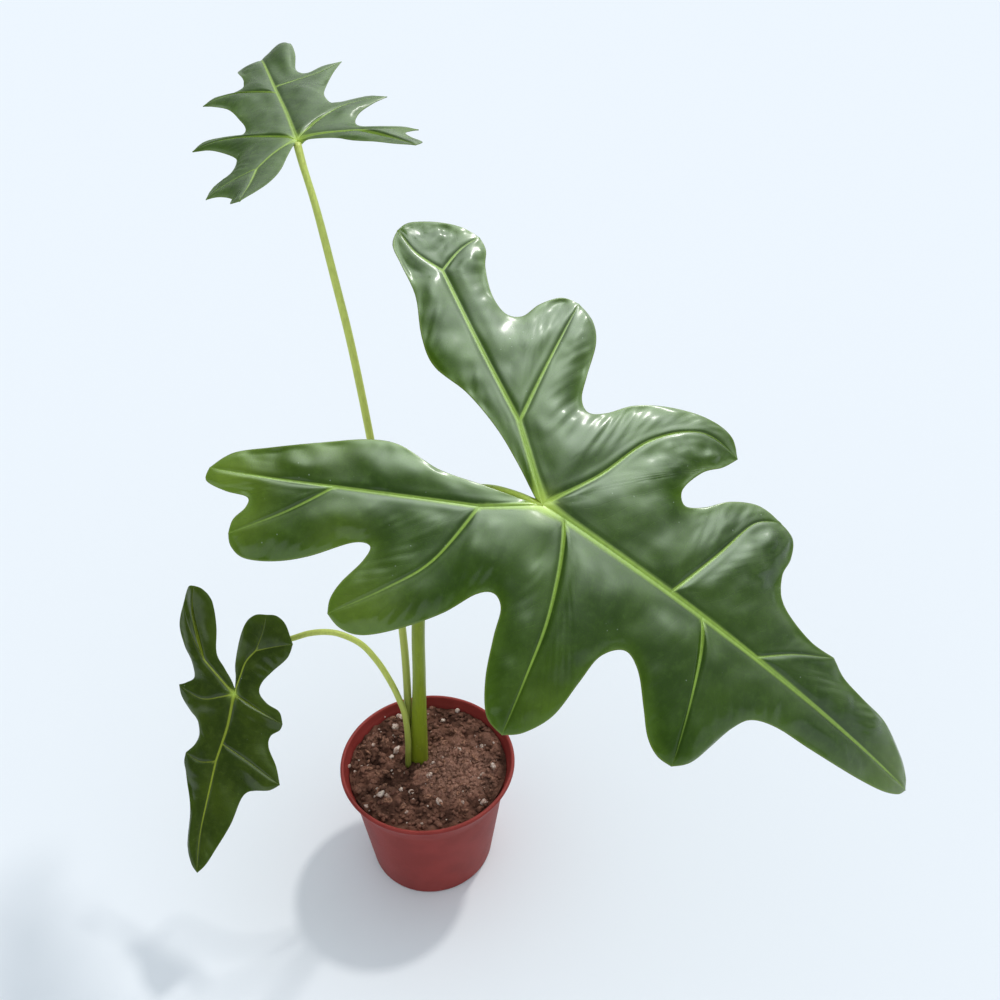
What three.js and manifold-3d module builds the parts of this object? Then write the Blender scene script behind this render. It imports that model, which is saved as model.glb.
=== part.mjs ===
// A young alocasia portei in a brick-red nursery pot: three lobed, arrow-shaped leaves on long
// stalks that rise from one rhizome in a dark mix of peat, bark and perlite.
// Millimetres, +Z up. The origin is the centre of the pot's underside, and the big leaf hangs
// towards -Y and +X.

import * as THREE from 'three';
import { mergeVertices } from 'three/addons/utils/BufferGeometryUtils.js';
import Module from 'manifold-3d';

const wasm = await Module();
wasm.setup();

// Driving sizes
const POT_HEIGHT = 78.4;
const RIM_RADIUS = 52.5;
const COLLAR_RADIUS = 46.2;
const COLLAR_HEIGHT = 62;
const BASE_RADIUS = 38;
const WALL = 1.3;
const FLOOR = 2;
const LIP = 2.4;
const GAP = 0.3;
const SOIL_TOP = 72.2;
const DRAIN_HOLES = 6;
const DRAIN_RADIUS = 4;
const DRAIN_CIRCLE = 24;
const BLADE = 1;
const SMALL_BLADE = 0.9;

// Materials, one for each kind of surface
const finish = (color, roughness) => new THREE.MeshStandardMaterial({ color, roughness, metalness: 0 });
const redPlastic = () => finish('#8e3b33', 0.5);
const peat = () => finish('#4a332b', 0.95);
const rootSkin = () => finish('#8a6b4a', 0.85);
const stalkSkin = (color) => finish(color, 0.45);
const leafSkin = (color) => finish(color, 0.3);

const plant = new THREE.Group();

function add(name, geometry, material) {
  const mesh = new THREE.Mesh(geometry, material);
  mesh.name = name;
  plant.add(mesh);
}

// Joining and cutting
function toSolid(geometry) {
  const bare = geometry.clone();
  bare.deleteAttribute('normal');
  bare.deleteAttribute('uv');
  const merged = mergeVertices(bare, 1e-4);
  return new wasm.Manifold(new wasm.Mesh({
    numProp: 3,
    vertProperties: new Float32Array(merged.attributes.position.array),
    triVerts: new Uint32Array(merged.index.array),
  }));
}

function fromSolid(solid) {
  const mesh = solid.getMesh();
  return fromTriangles(mesh.vertProperties, mesh.triVerts);
}

function fromTriangles(coordinates, corners) {
  const geometry = new THREE.BufferGeometry();
  geometry.setAttribute('position', new THREE.BufferAttribute(new Float32Array(coordinates), 3));
  geometry.setIndex(Array.from(corners));
  geometry.computeVertexNormals();
  return geometry;
}

// The same random draw on every run
function seeded(seed) {
  let state = seed;
  return () => {
    state = (state * 1664525 + 1013904223) % 4294967296;
    return state / 4294967296;
  };
}

// The pot is one thin moulding: a flat floor, a slightly tapered wall, a flared collar and a
// rolled lip, with round drain holes through the floor.
const wallRadiusAt = (z) => BASE_RADIUS + ((COLLAR_RADIUS - BASE_RADIUS) * z) / COLLAR_HEIGHT;

function flare() {
  const top = POT_HEIGHT - LIP;
  const radius = RIM_RADIUS - 1;
  return new THREE.CubicBezierCurve(
    new THREE.Vector2(COLLAR_RADIUS, COLLAR_HEIGHT),
    new THREE.Vector2(COLLAR_RADIUS + 0.6, COLLAR_HEIGHT + 5),
    new THREE.Vector2(radius - 2, top - 4),
    new THREE.Vector2(radius, top),
  );
}

function potOutline() {
  const outside = flare().getPoints(4);
  const lipCentre = new THREE.Vector2(RIM_RADIUS - LIP / 2, POT_HEIGHT - LIP / 2);
  const lip = [-35, 10, 60, 105, 150].map((degrees) => {
    const angle = THREE.MathUtils.degToRad(degrees);
    return new THREE.Vector2(Math.cos(angle), Math.sin(angle)).multiplyScalar(LIP / 2).add(lipCentre);
  });
  const inside = outside.slice(0, -1).reverse().map((p) => new THREE.Vector2(p.x - WALL, p.y));
  return [
    new THREE.Vector2(0, 0),
    new THREE.Vector2(BASE_RADIUS - 1.5, 0),
    new THREE.Vector2(BASE_RADIUS, 1.5),
    ...outside,
    ...lip,
    ...inside,
    new THREE.Vector2(wallRadiusAt(FLOOR) - WALL, FLOOR),
    new THREE.Vector2(0, FLOOR),
  ];
}

function pot() {
  let solid = toSolid(new THREE.LatheGeometry(potOutline(), 48).rotateX(Math.PI / 2));
  for (let i = 0; i < DRAIN_HOLES; i++) {
    const angle = (i * 2 * Math.PI) / DRAIN_HOLES;
    const hole = new THREE.CylinderGeometry(DRAIN_RADIUS, DRAIN_RADIUS, FLOOR * 3, 12)
      .rotateX(Math.PI / 2)
      .translate(DRAIN_CIRCLE * Math.cos(angle), DRAIN_CIRCLE * Math.sin(angle), FLOOR / 2);
    solid = solid.subtract(toSolid(hole));
  }
  return fromSolid(solid);
}

// Stalks and roots are tapered tubes along a smooth curve, closed at both ends. `radii` gives the
// radius at even steps along the curve, and `grow` makes the same tube wider, for its hole.
function tube(points, radii, steps, sides, grow = 0) {
  const curve = new THREE.CatmullRomCurve3(points.map((p) => new THREE.Vector3(...p)), false, 'centripetal');
  const frames = curve.computeFrenetFrames(steps, false);
  const coordinates = [];
  const corners = [];
  for (let i = 0; i <= steps; i++) {
    const centre = curve.getPointAt(i / steps);
    const place = (i / steps) * (radii.length - 1);
    const below = Math.min(Math.floor(place), radii.length - 2);
    const radius = THREE.MathUtils.lerp(radii[below], radii[below + 1], place - below) + grow;
    for (let j = 0; j < sides; j++) {
      const angle = (j * 2 * Math.PI) / sides;
      const point = centre.clone()
        .addScaledVector(frames.normals[i], radius * Math.cos(angle))
        .addScaledVector(frames.binormals[i], radius * Math.sin(angle));
      coordinates.push(...point.toArray());
      const next = (j + 1) % sides;
      if (i < steps) {
        const a = i * sides + j;
        const b = i * sides + next;
        corners.push(a, b, b + sides, a, b + sides, a + sides);
      }
    }
  }
  const first = coordinates.length / 3;
  coordinates.push(...curve.getPointAt(0).toArray(), ...curve.getPointAt(1).toArray());
  for (let j = 0; j < sides; j++) {
    const next = (j + 1) % sides;
    const last = steps * sides;
    corners.push(first, next, j, first + 1, last + j, last + next);
  }
  return fromTriangles(coordinates, corners);
}

// The three stalks stand close together in the mix, on the rhizome's crown, and each ends under
// the place where its leaf's veins meet.
const STALK_FOOT = 58;
const stalks = {
  petiole_main: {
    color: '#7f9a2c',
    points: [
      [-5, 6, STALK_FOOT], [-5, 6, 70], [-3.5, 3, 110], [-1.5, -2, 150], [0, -6, 185], [2.5, -8.5, 215],
      [7, -12, 243], [14, -18, 266], [23, -27, 283], [32, -34, 293], [41, -41.5, 298], [51, -48, 299],
      [61.3, -53.6, 296.8],
    ],
    radii: [4.6, 4.4, 4, 3.7, 3.6, 3.5, 3.4, 3.3, 3.2, 3, 2.6],
    steps: 34,
  },
  petiole_tall: {
    color: '#a9b86a',
    points: [
      [-12.2, 8.2, STALK_FOOT], [-12.2, 8.2, 70], [-11.2, 6, 100], [-9.6, 4, 135], [-9.6, 4, 174],
      [-12.5, 8.5, 225], [-20.2, 20, 289], [-27.2, 32, 332.5], [-33.8, 42, 362.5], [-41, 54, 391],
      [-47.2, 65, 408], [-50, 71.2, 416.3],
    ],
    radii: [2.3, 2.3, 2.2, 2.1, 2, 1.95, 1.9, 1.9, 1.8, 1.5],
    steps: 30,
  },
  petiole_low: {
    color: '#9dbb52',
    points: [
      [-12.2, 1.6, STALK_FOOT], [-12.2, 1.6, 72], [-11, 0.3, 95], [-11.6, 0, 116], [-14.7, 0, 131],
      [-18.6, 1, 142.5], [-24.5, 2, 156], [-33, 4, 167.5], [-44, 6, 173], [-53, 7.5, 173.5],
      [-63, 9.5, 170.5], [-73, 11, 165.5], [-83, 13, 161], [-91, 12.5, 156], [-97.5, 5.5, 150.2],
      [-101.5, -1, 144.4], [-104.1, -6.1, 138.7],
    ],
    radii: [1.9, 1.9, 1.8, 1.8, 1.7, 1.7, 1.6, 1.3],
    steps: 40,
  },
};

const stalkTube = (stalk, grow = 0) => tube(stalk.points, stalk.radii, stalk.steps, 10, grow);

// The rhizome is a stubby, ringed corm under the stalks, with a few thick roots.
const CROWN = { x: -9, y: 5, top: STALK_FOOT - GAP, height: 34, radius: 10.5 };

function rhizome(grow = 0) {
  const rings = 8;
  const outline = [new THREE.Vector2(0, -grow)];
  for (let i = 0; i <= rings; i++) {
    const share = i / rings;
    const swell = Math.sin(Math.PI * (0.18 + 0.78 * share)) ** 0.6;
    const ring = i % 2 ? 0.94 : 1;
    outline.push(new THREE.Vector2(CROWN.radius * swell * ring + grow, share * CROWN.height));
  }
  outline.push(new THREE.Vector2(0, CROWN.height + grow));
  const upward = outline.reverse().map((p) => new THREE.Vector2(p.x, CROWN.height - p.y));
  const corm = new THREE.LatheGeometry(upward, 16)
    .rotateX(Math.PI / 2)
    .translate(CROWN.x, CROWN.y, CROWN.top - CROWN.height);
  let solid = toSolid(corm);
  const roots = 5;
  for (let i = 0; i < roots; i++) {
    const angle = (i * 2 * Math.PI) / roots + 0.4;
    const out = (reach, z) => [CROWN.x + reach * Math.cos(angle), CROWN.y + reach * Math.sin(angle), z];
    const root = tube([out(2, 38), out(14, 33), out(21, 20), out(23, 8)], [2.2, 1.8, 1.4, 0.9], 6, 6, grow);
    solid = solid.add(toSolid(root));
  }
  return fromSolid(solid);
}

// The potting mix fills the pot to below the lip. Its top is a disc of rings raised into clods,
// with a shallow hollow round the stalks.
function mixTop(x, y, clods) {
  let z = SOIL_TOP - 1.6 * Math.exp(-((x + 9) ** 2 + (y - 4) ** 2) / 120);
  for (const clod of clods) {
    const distance = Math.hypot(x - clod.x, y - clod.y) / clod.radius;
    if (distance < 1) z += clod.height * (1 - distance * distance);
  }
  return z;
}

function pottingMix() {
  const rings = 13;
  const around = 48;
  const random = seeded(11);
  const insideRadius = (z) => wallRadiusAt(z) - WALL - GAP;
  const edge = flare().getPoint(0.6).x - WALL - GAP - 0.2;
  const clods = Array.from({ length: 90 }, () => {
    const reach = (edge - 3) * Math.sqrt(random());
    const angle = 2 * Math.PI * random();
    return {
      x: reach * Math.cos(angle),
      y: reach * Math.sin(angle),
      radius: 2.5 + 3.5 * random(),
      height: 0.5 + 1.6 * random(),
    };
  });
  const coordinates = [0, 0, mixTop(0, 0, clods)];
  const corners = [];
  const ring = (radiusAt, heightAt) => {
    const start = coordinates.length / 3;
    for (let j = 0; j < around; j++) {
      const angle = (j * 2 * Math.PI) / around;
      const x = radiusAt * Math.cos(angle);
      const y = radiusAt * Math.sin(angle);
      coordinates.push(x, y, heightAt(x, y));
    }
    return start;
  };
  const band = (inner, outer) => {
    for (let j = 0; j < around; j++) {
      const next = (j + 1) % around;
      corners.push(inner + j, outer + j, outer + next, inner + j, outer + next, inner + next);
    }
  };
  const rows = [];
  for (let i = 1; i <= rings; i++) rows.push(ring((edge * i) / rings, (x, y) => mixTop(x, y, clods)));
  const foot = FLOOR + GAP;
  rows.push(ring(insideRadius(COLLAR_HEIGHT), () => COLLAR_HEIGHT));
  rows.push(ring(insideRadius(foot), () => foot));
  for (let j = 0; j < around; j++) corners.push(0, rows[0] + j, rows[0] + ((j + 1) % around));
  for (let i = 1; i < rows.length; i++) band(rows[i - 1], rows[i]);
  const bottom = coordinates.length / 3;
  coordinates.push(0, 0, foot);
  const last = rows.at(-1);
  for (let j = 0; j < around; j++) corners.push(bottom, last + ((j + 1) % around), last + j);
  let solid = toSolid(fromTriangles(coordinates, corners)).subtract(toSolid(rhizome(GAP)));
  for (const stalk of Object.values(stalks)) solid = solid.subtract(toSolid(stalkTube(stalk, GAP)));
  return fromSolid(solid);
}

// A leaf is drawn flat first: x runs along the midrib to the tip, y across it, and [0, 0] is
// where the stalk joins. `veins` names the runs of vein, from the stalk outwards. Each sector is
// the blade between two neighbouring lobe tips: `path` walks in along one lobe's veins (a minus
// sign means against the vein's direction) and out along the next, and `edge` holds the margin's
// points beside each run of the path. Straight rows join path and margin, `levels` shares apart.
function walk(veins, path) {
  return path.map((name) => {
    const back = name.startsWith('-');
    const vein = veins[back ? name.slice(1) : name];
    const curve = new THREE.SplineCurve(vein.points.map((p) => new THREE.Vector2(...p)));
    const points = curve.getSpacedPoints(vein.steps);
    return back ? points.reverse() : points;
  });
}

function rowsOf(veins, sector) {
  const runs = walk(veins, sector.path);
  const start = runs[0][0];
  const end = runs.at(-1).at(-1);
  const margin = [start, ...sector.edge.flat().map((p) => new THREE.Vector2(...p)), end];
  const curve = new THREE.SplineCurve(margin);
  const rows = [];
  let from = 0;
  runs.forEach((run, k) => {
    const last = k === runs.length - 1;
    const to = last ? margin.length - 1 : from + sector.edge[k].length;
    run.forEach((vein, i) => {
      if (k > 0 && i === 0) return;
      const place = THREE.MathUtils.lerp(from, to, i / (run.length - 1)) / (margin.length - 1);
      rows.push([vein, last && i === run.length - 1 ? end : curve.getPoint(place)]);
    });
    from = to;
  });
  return rows;
}

// Turns a flat length `a` and a height `h` round an arc of the given curvature.
function arc(a, h, curvature) {
  if (Math.abs(curvature) < 1e-7) return [a, h];
  const r = 1 / curvature;
  return [(r + h) * Math.sin(a * curvature), (r + h) * Math.cos(a * curvature) - r];
}

// Bends a flat point of the blade: across the midrib first, then along it, with a closer curve
// past the hinge for a nodding tip.
function bent(x, y, h, bend) {
  const [across, rise] = arc(y, h, y > 0 ? bend.left : bend.right);
  if (x <= bend.hinge) {
    const [along, up] = arc(x, rise, x > 0 ? bend.front : bend.back);
    return [along, across, up];
  }
  const [startAlong, startUp] = arc(bend.hinge, 0, bend.front);
  const slope = bend.hinge * bend.front;
  const [along, up] = arc(x - bend.hinge, rise, bend.tip);
  return [
    startAlong + along * Math.cos(slope) + up * Math.sin(slope),
    across,
    startUp - along * Math.sin(slope) + up * Math.cos(slope),
  ];
}

function leaf(spec) {
  const { veins, sectors, bend, place, thickness, rib, levels } = spec;
  const origin = new THREE.Vector3(...place.at);
  const ex = new THREE.Vector3(...place.along).normalize();
  const ez = new THREE.Vector3().crossVectors(ex, new THREE.Vector3(...place.across)).normalize();
  const ey = new THREE.Vector3().crossVectors(ez, ex);
  const put = (x, y, h) => {
    const [a, b, c] = bent(x, y, h, bend);
    return origin.clone().addScaledVector(ex, a).addScaledVector(ey, b).addScaledVector(ez, c).toArray();
  };
  // Lobes lift or droop by soft bumps, and the blade puffs up between its veins.
  const sway = (x, y) => spec.sway.reduce(
    (sum, s) => sum + s.height * Math.exp(-((x - s.x) ** 2 + (y - s.y) ** 2) / s.reach ** 2), 0);
  const puff = (x, y, t, width) => width * (0.2 * t * (1 - t) - 0.05 * t * t)
    + 0.02 * width * t * t * Math.sin(x / 8) * Math.cos(y / 9);
  const upper = [];
  const lower = [];
  const known = new Map();
  const vertex = (x, y, t, width) => {
    const key = `${x.toFixed(4)},${y.toFixed(4)}`;
    if (!known.has(key)) {
      known.set(key, upper.length);
      const h = puff(x, y, t, width) + sway(x, y);
      const ridge = t === 0 ? rib * Math.max(0, 1 - Math.hypot(x, y) / spec.reach) : 0;
      upper.push(put(x, y, h));
      lower.push(put(x, y, h - thickness - ridge));
    }
    return known.get(key);
  };
  const faces = [];
  const face = (a, b, c) => {
    if (a !== b && b !== c && a !== c) faces.push([a, b, c]);
  };
  for (const sector of sectors) {
    const grid = rowsOf(veins, sector).map(([vein, margin]) => levels.map((t) => {
      const p = vein.clone().lerp(margin, t);
      return vertex(p.x, p.y, t, vein.distanceTo(margin));
    }));
    const left = sector.side === 'left';
    for (let i = 1; i < grid.length; i++) {
      for (let j = 1; j < levels.length; j++) {
        const [a, b, c, d] = [grid[i - 1][j - 1], grid[i][j - 1], grid[i][j], grid[i - 1][j]];
        if (left) {
          face(a, b, c);
          face(a, c, d);
        } else {
          face(a, c, b);
          face(a, d, c);
        }
      }
    }
  }
  // Both faces are split alike, and a wall joins them along every edge that has one face only.
  const count = upper.length;
  const corners = [];
  const edges = new Map();
  for (const [a, b, c] of faces) {
    corners.push(a, b, c, count + a, count + c, count + b);
    for (const [from, to] of [[a, b], [b, c], [c, a]]) {
      if (!edges.delete(`${to},${from}`)) edges.set(`${from},${to}`, [from, to]);
    }
  }
  for (const [from, to] of edges.values()) {
    corners.push(to, from, count + from, to, count + from, count + to);
  }
  return fromTriangles([...upper, ...lower].flat(), corners);
}

const LEVELS = [0, 0.09, 0.3, 0.62, 1];
const SMALL_LEVELS = [0, 0.14, 0.5, 1];

// The big leaf hangs over the pot's front, its tip down to the right
const leafMain = {
  thickness: BLADE,
  rib: 1.4,
  reach: 230,
  levels: LEVELS,
  place: { at: [61.4, -55.6, 301.7], along: [0.83, -0.384, -0.405], across: [0.553, 0.661, 0.506] },
  bend: { left: 0.0015, right: 0.0038, back: -0.0003, front: 0.0026, tip: 0.0026, hinge: 300 },
  sway: [{ x: 64, y: 76, reach: 15, height: -6 }],
  veins: {
    rib0: { steps: 1, points: [[0, 0], [11, 0]] },
    rib1: { steps: 5, points: [[11, 0], [65, 0]] },
    rib2: { steps: 2, points: [[65, 0], [82, 0]] },
    rib3: { steps: 3, points: [[82, 0], [112, 0]] },
    rib4: { steps: 11, points: [[112, 0], [222, 0]] },
    far: { steps: 4, points: [[0, 0], [-13, 12], [-28, 25]] },
    farMid: { steps: 7, points: [[-28, 25], [-62, 45], [-96, 66]] },
    farTip: { steps: 4, points: [[-96, 66], [-111, 66], [-124, 71]] },
    farSide: { steps: 4, points: [[-96, 66], [-96, 80], [-93, 92]] },
    farInner: { steps: 7, points: [[-28, 25], [-33, 56], [-38, 91]] },
    farFirst: { steps: 10, points: [[0, 0], [13, 24], [23, 51], [40, 69], [62, 73]] },
    farSecond: { steps: 6, points: [[65, 0], [74, 26], [81, 48], [92, 57]] },
    farThird: { steps: 4, points: [[112, 0], [127, 12], [146, 23]] },
    near: { steps: 3, points: [[0, 0], [-10, -8], [-21, -16]] },
    nearMid: { steps: 6, points: [[-21, -16], [-47, -29], [-75, -43]] },
    nearTip: { steps: 6, points: [[-75, -43], [-97, -54], [-123, -66]] },
    nearSide: { steps: 5, points: [[-75, -43], [-86, -63], [-101, -84]] },
    nearInner: { steps: 8, points: [[-21, -16], [-24, -45], [-34, -66], [-48, -88]] },
    nearFirst: { steps: 9, points: [[11, 0], [16, -9], [22, -22], [29, -41], [34, -62], [40, -88]] },
    nearSecond: { steps: 6, points: [[82, 0], [89, -12], [96, -29], [107, -58]] },
  },
  sectors: [
    {
      side: 'left',
      path: ['far', 'farMid', 'farTip'],
      edge: [
        [[-7, 3], [-16, 8]],
        [[-34, 17], [-53, 23], [-72, 25], [-85, 34]],
        [[-98, 48], [-112, 57], [-121, 63]],
      ],
    },
    { side: 'left', path: ['-farTip', 'farSide'], edge: [[[-122, 78], [-113, 86]], [[-103, 91]]] },
    {
      side: 'left',
      path: ['-farSide', '-farMid', 'farInner'],
      edge: [[[-87, 88], [-82, 80]], [[-72, 70], [-62, 66], [-55, 70]], [[-52, 80], [-46, 89]]],
    },
    {
      side: 'left',
      path: ['-farInner', '-far', 'farFirst'],
      edge: [
        [[-28, 87], [-21, 78], [-16, 62]],
        [[-12, 51], [-6, 47], [1, 52]],
        [[9, 62], [22, 71], [38, 77], [54, 79]],
      ],
    },
    {
      side: 'left',
      path: ['-farFirst', 'rib0', 'rib1', 'farSecond'],
      edge: [[[57, 63], [50, 54]], [[46.5, 42]], [[51, 36], [59, 41]], [[67, 50], [79, 57]]],
    },
    {
      side: 'left',
      path: ['-farSecond', 'rib2', 'rib3', 'farThird'],
      edge: [[[101, 55], [105, 47]], [[105, 38]], [[110, 29], [120, 24]], [[133, 21.5]]],
    },
    {
      side: 'left',
      path: ['-farThird', 'rib4'],
      edge: [[[157, 19.5]], [[172, 18], [190, 17], [207, 11], [217, 5]]],
    },
    {
      side: 'right',
      path: ['near', 'nearMid', 'nearTip'],
      edge: [
        [[-12, -4]],
        [[-25, -7.5], [-44, -12.5], [-63, -13], [-76, -19]],
        [[-92, -32], [-106, -44], [-118, -55]],
      ],
    },
    {
      side: 'right',
      path: ['-nearTip', 'nearSide'],
      edge: [[[-121, -71], [-112, -70], [-103, -67]], [[-101, -71], [-102.5, -78]]],
    },
    {
      side: 'right',
      path: ['-nearSide', '-nearMid', 'nearInner'],
      edge: [
        [[-97, -88], [-90, -89], [-79, -83]],
        [[-68, -73], [-56, -58], [-49, -55]],
        [[-48, -62], [-50.5, -74], [-50.5, -82]],
      ],
    },
    {
      side: 'right',
      path: ['-nearInner', '-near', 'rib0', 'nearFirst'],
      edge: [
        [[-40, -90], [-31, -87], [-20, -76], [-9, -61]],
        [[-2, -47]],
        [[4, -42.5]],
        [[10, -46], [14, -57], [21, -73], [30, -85]],
      ],
    },
    {
      side: 'right',
      path: ['-nearFirst', 'rib1', 'rib2', 'nearSecond'],
      edge: [
        [[47, -82], [53, -70], [54, -53]],
        [[55, -39], [62, -31]],
        [[71, -34]],
        [[82, -45], [91, -54], [99, -58]],
      ],
    },
    {
      side: 'right',
      path: ['-nearSecond', 'rib3', 'rib4'],
      edge: [
        [[113, -52], [117, -42]],
        [[121, -29], [126, -22]],
        [[138, -18], [158, -16], [185, -12.5], [206, -8.5], [218, -4]],
      ],
    },
  ],
};

// The tall leaf lies nearly level, points away and nods at its tip
const leafTall = {
  thickness: SMALL_BLADE,
  rib: 1,
  reach: 120,
  levels: SMALL_LEVELS,
  place: { at: [-50.4, 72, 419.1], along: [-0.345, 0.919, 0.191], across: [-0.932, -0.312, -0.183] },
  bend: { left: 0.0051, right: 0.0017, back: -0.006, front: -0.001, tip: 0.024, hinge: 78 },
  sway: [{ x: 98, y: -18, reach: 14, height: 7 }],
  veins: {
    rib1: { steps: 4, points: [[0, 0], [28, -1], [52, -1]] },
    rib2: { steps: 1, points: [[52, -1], [58, -1]] },
    rib3: { steps: 7, points: [[58, -1], [90, -1], [122, 0]] },
    far: { steps: 3, points: [[0, 0], [-9, 13], [-19, 22]] },
    farTip: { steps: 4, points: [[-19, 22], [-38, 28], [-58, 34]] },
    farSide: { steps: 3, points: [[-19, 22], [-21, 35], [-25, 48]] },
    farFirst: { steps: 6, points: [[0, 0], [10, 12.5], [17.5, 22.5], [24, 34], [28, 48]] },
    farSecond: { steps: 5, points: [[52, -1], [60, 11], [65, 21], [66, 36]] },
    near: { steps: 3, points: [[0, 0], [-2, -12], [-8, -28]] },
    nearTip: { steps: 4, points: [[-8, -28], [-25, -38], [-47, -45]] },
    nearSide: { steps: 3, points: [[-8, -28], [-14, -40], [-21, -53]] },
    nearFirst: { steps: 6, points: [[0, 0], [4, -5], [14.5, -16], [22, -30], [23, -50]] },
    nearSecond: { steps: 5, points: [[58, -1], [60, -13], [63, -26], [71, -39]] },
  },
  sectors: [
    {
      side: 'left',
      path: ['far', 'farTip'],
      edge: [[[-8, 4], [-17, 8]], [[-31, 13], [-43, 19], [-53, 26]]],
    },
    { side: 'left', path: ['-farTip', 'farSide'], edge: [[[-52, 38], [-41, 37]], [[-32, 41]]] },
    {
      side: 'left',
      path: ['-farSide', '-far', 'farFirst'],
      edge: [[[-16, 43], [-11, 34]], [[-3, 30], [6, 30]], [[19, 38]]],
    },
    {
      side: 'left',
      path: ['-farFirst', 'rib1', 'farSecond'],
      edge: [[[31, 41], [27, 32], [23, 24], [24, 21.5]], [[28, 20], [37, 21]], [[53, 25]]],
    },
    {
      side: 'left',
      path: ['-farSecond', 'rib2', 'rib3'],
      edge: [[[69, 29], [67, 20], [69, 14]], [[73, 12.5]], [[78, 12], [92, 13], [108, 9]]],
    },
    {
      side: 'right',
      path: ['near', 'nearTip'],
      edge: [[[-4, -8], [-10, -17]], [[-18, -23], [-27, -32], [-38, -39]]],
    },
    { side: 'right', path: ['-nearTip', 'nearSide'], edge: [[[-43, -49], [-32, -48]], [[-22, -46.5]]] },
    {
      side: 'right',
      path: ['-nearSide', '-near', 'nearFirst'],
      edge: [[[-14, -48], [-9, -40]], [[-4, -31], [4, -29]], [[12, -33], [18, -41]]],
    },
    {
      side: 'right',
      path: ['-nearFirst', 'rib1', 'rib2', 'nearSecond'],
      edge: [
        [[27, -42], [27, -30], [28.5, -26], [31, -23]],
        [[39, -22]],
        [[48, -25]],
        [[59, -31]],
      ],
    },
    {
      side: 'right',
      path: ['-nearSecond', 'rib3'],
      edge: [[[70, -29], [66, -20]], [[72, -15], [86, -18], [99, -17], [113, -9]]],
    },
  ],
};

// The low leaf hangs steeply beside the pot, its upper face to the front
const leafLow = {
  thickness: SMALL_BLADE,
  rib: 0.9,
  reach: 100,
  levels: SMALL_LEVELS,
  place: { at: [-105.2, -8.4, 141.8], along: [-0.112, -0.587, -0.802], across: [0.947, -0.308, 0.094] },
  bend: { left: -0.0015, right: 0.0026, back: -0.005, front: -0.002, tip: -0.002, hinge: 200 },
  sway: [],
  veins: {
    rib1: { steps: 3, points: [[0, 0], [17, -1], [28, -3]] },
    rib2: { steps: 1, points: [[28, -3], [38, -5]] },
    rib3: { steps: 7, points: [[38, -5], [59, -6], [78, -6], [97, -3]] },
    right: { steps: 4, points: [[0, 0], [-10, 3], [-19, 6], [-26, 12]] },
    rightTip: { steps: 3, points: [[-26, 12], [-37, 16], [-47, 18]] },
    rightSide: { steps: 3, points: [[-26, 12], [-30, 24], [-33, 35]] },
    rightFirst: { steps: 4, points: [[0, 0], [5, 14], [8, 23], [11, 33]] },
    rightSecond: { steps: 5, points: [[28, -3], [34, 14], [43, 37]] },
    left: { steps: 3, points: [[0, 0], [-8, -11], [-16, -22]] },
    leftTip: { steps: 5, points: [[-16, -22], [-29, -27], [-43, -31], [-57, -30]] },
    leftSide: { steps: 4, points: [[-16, -22], [-31, -33], [-46, -38]] },
    leftFirst: { steps: 4, points: [[0, 0], [3, -8], [6, -21], [1, -38]] },
    leftSecond: { steps: 3, points: [[38, -5], [40, -15], [37, -26]] },
  },
  sectors: [
    {
      side: 'left',
      path: ['right', 'rightTip'],
      edge: [[[-9, 0], [-17, -1], [-31, 1]], [[-41, 5], [-46, 11]]],
    },
    { side: 'left', path: ['-rightTip', 'rightSide'], edge: [[[-47, 24]], [[-43, 30]]] },
    {
      side: 'left',
      path: ['-rightSide', '-right', 'rightFirst'],
      edge: [[[-25, 32], [-16, 23]], [[-9, 17], [-3, 16]], [[2, 22], [5, 30]]],
    },
    {
      side: 'left',
      path: ['-rightFirst', 'rib1', 'rightSecond'],
      edge: [[[15, 31]], [[19, 26], [25, 26]], [[34, 33]]],
    },
    {
      side: 'left',
      path: ['-rightSecond', 'rib2', 'rib3'],
      edge: [[[47, 31], [49, 22]], [[51, 17]], [[56, 14], [69, 11], [83, 5], [92, 1]]],
    },
    {
      side: 'right',
      path: ['left', 'leftTip'],
      edge: [[[-6, -2], [-13, -8]], [[-21, -14], [-36, -15], [-50, -18], [-56, -24]]],
    },
    { side: 'right', path: ['-leftTip', 'leftSide'], edge: [[[-56, -34], [-51, -37]], [[-48.5, -37.7]]] },
    {
      side: 'right',
      path: ['-leftSide', '-left', 'leftFirst'],
      edge: [[[-33, -41], [-22, -37]], [[-14, -31], [-5, -28]], [[-1, -33]]],
    },
    {
      side: 'right',
      path: ['-leftFirst', 'rib1', 'rib2', 'leftSecond'],
      edge: [[[7, -35], [14, -28], [17, -24]], [[20, -21]], [[26, -19]], [[32, -21]]],
    },
    {
      side: 'right',
      path: ['-leftSecond', 'rib3'],
      edge: [[[42, -26], [47, -24]], [[52, -22], [66, -16], [84, -13], [93, -8]]],
    },
  ],
};

add('pot', pot(), redPlastic());
add('potting_mix', pottingMix(), peat());
add('rhizome', rhizome(), rootSkin());
for (const [name, stalk] of Object.entries(stalks)) add(name, stalkTube(stalk), stalkSkin(stalk.color));
add('leaf_main', leaf(leafMain), leafSkin('#24451d'));
add('leaf_tall', leaf(leafTall), leafSkin('#2e4a22'));
add('leaf_low', leaf(leafLow), leafSkin('#1f3a14'));

export default plant;
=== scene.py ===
"""A young alocasia portei in a brick-red nursery pot: three lobed, arrow-shaped leaves on long stalks.

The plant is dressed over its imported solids, in their frame: metres, +Z up, with the origin at the
centre of the pot's underside. Shapes are worked out in millimetres, as the plant was measured, and
are set down in metres when their mesh is made.
"""

import math

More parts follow.
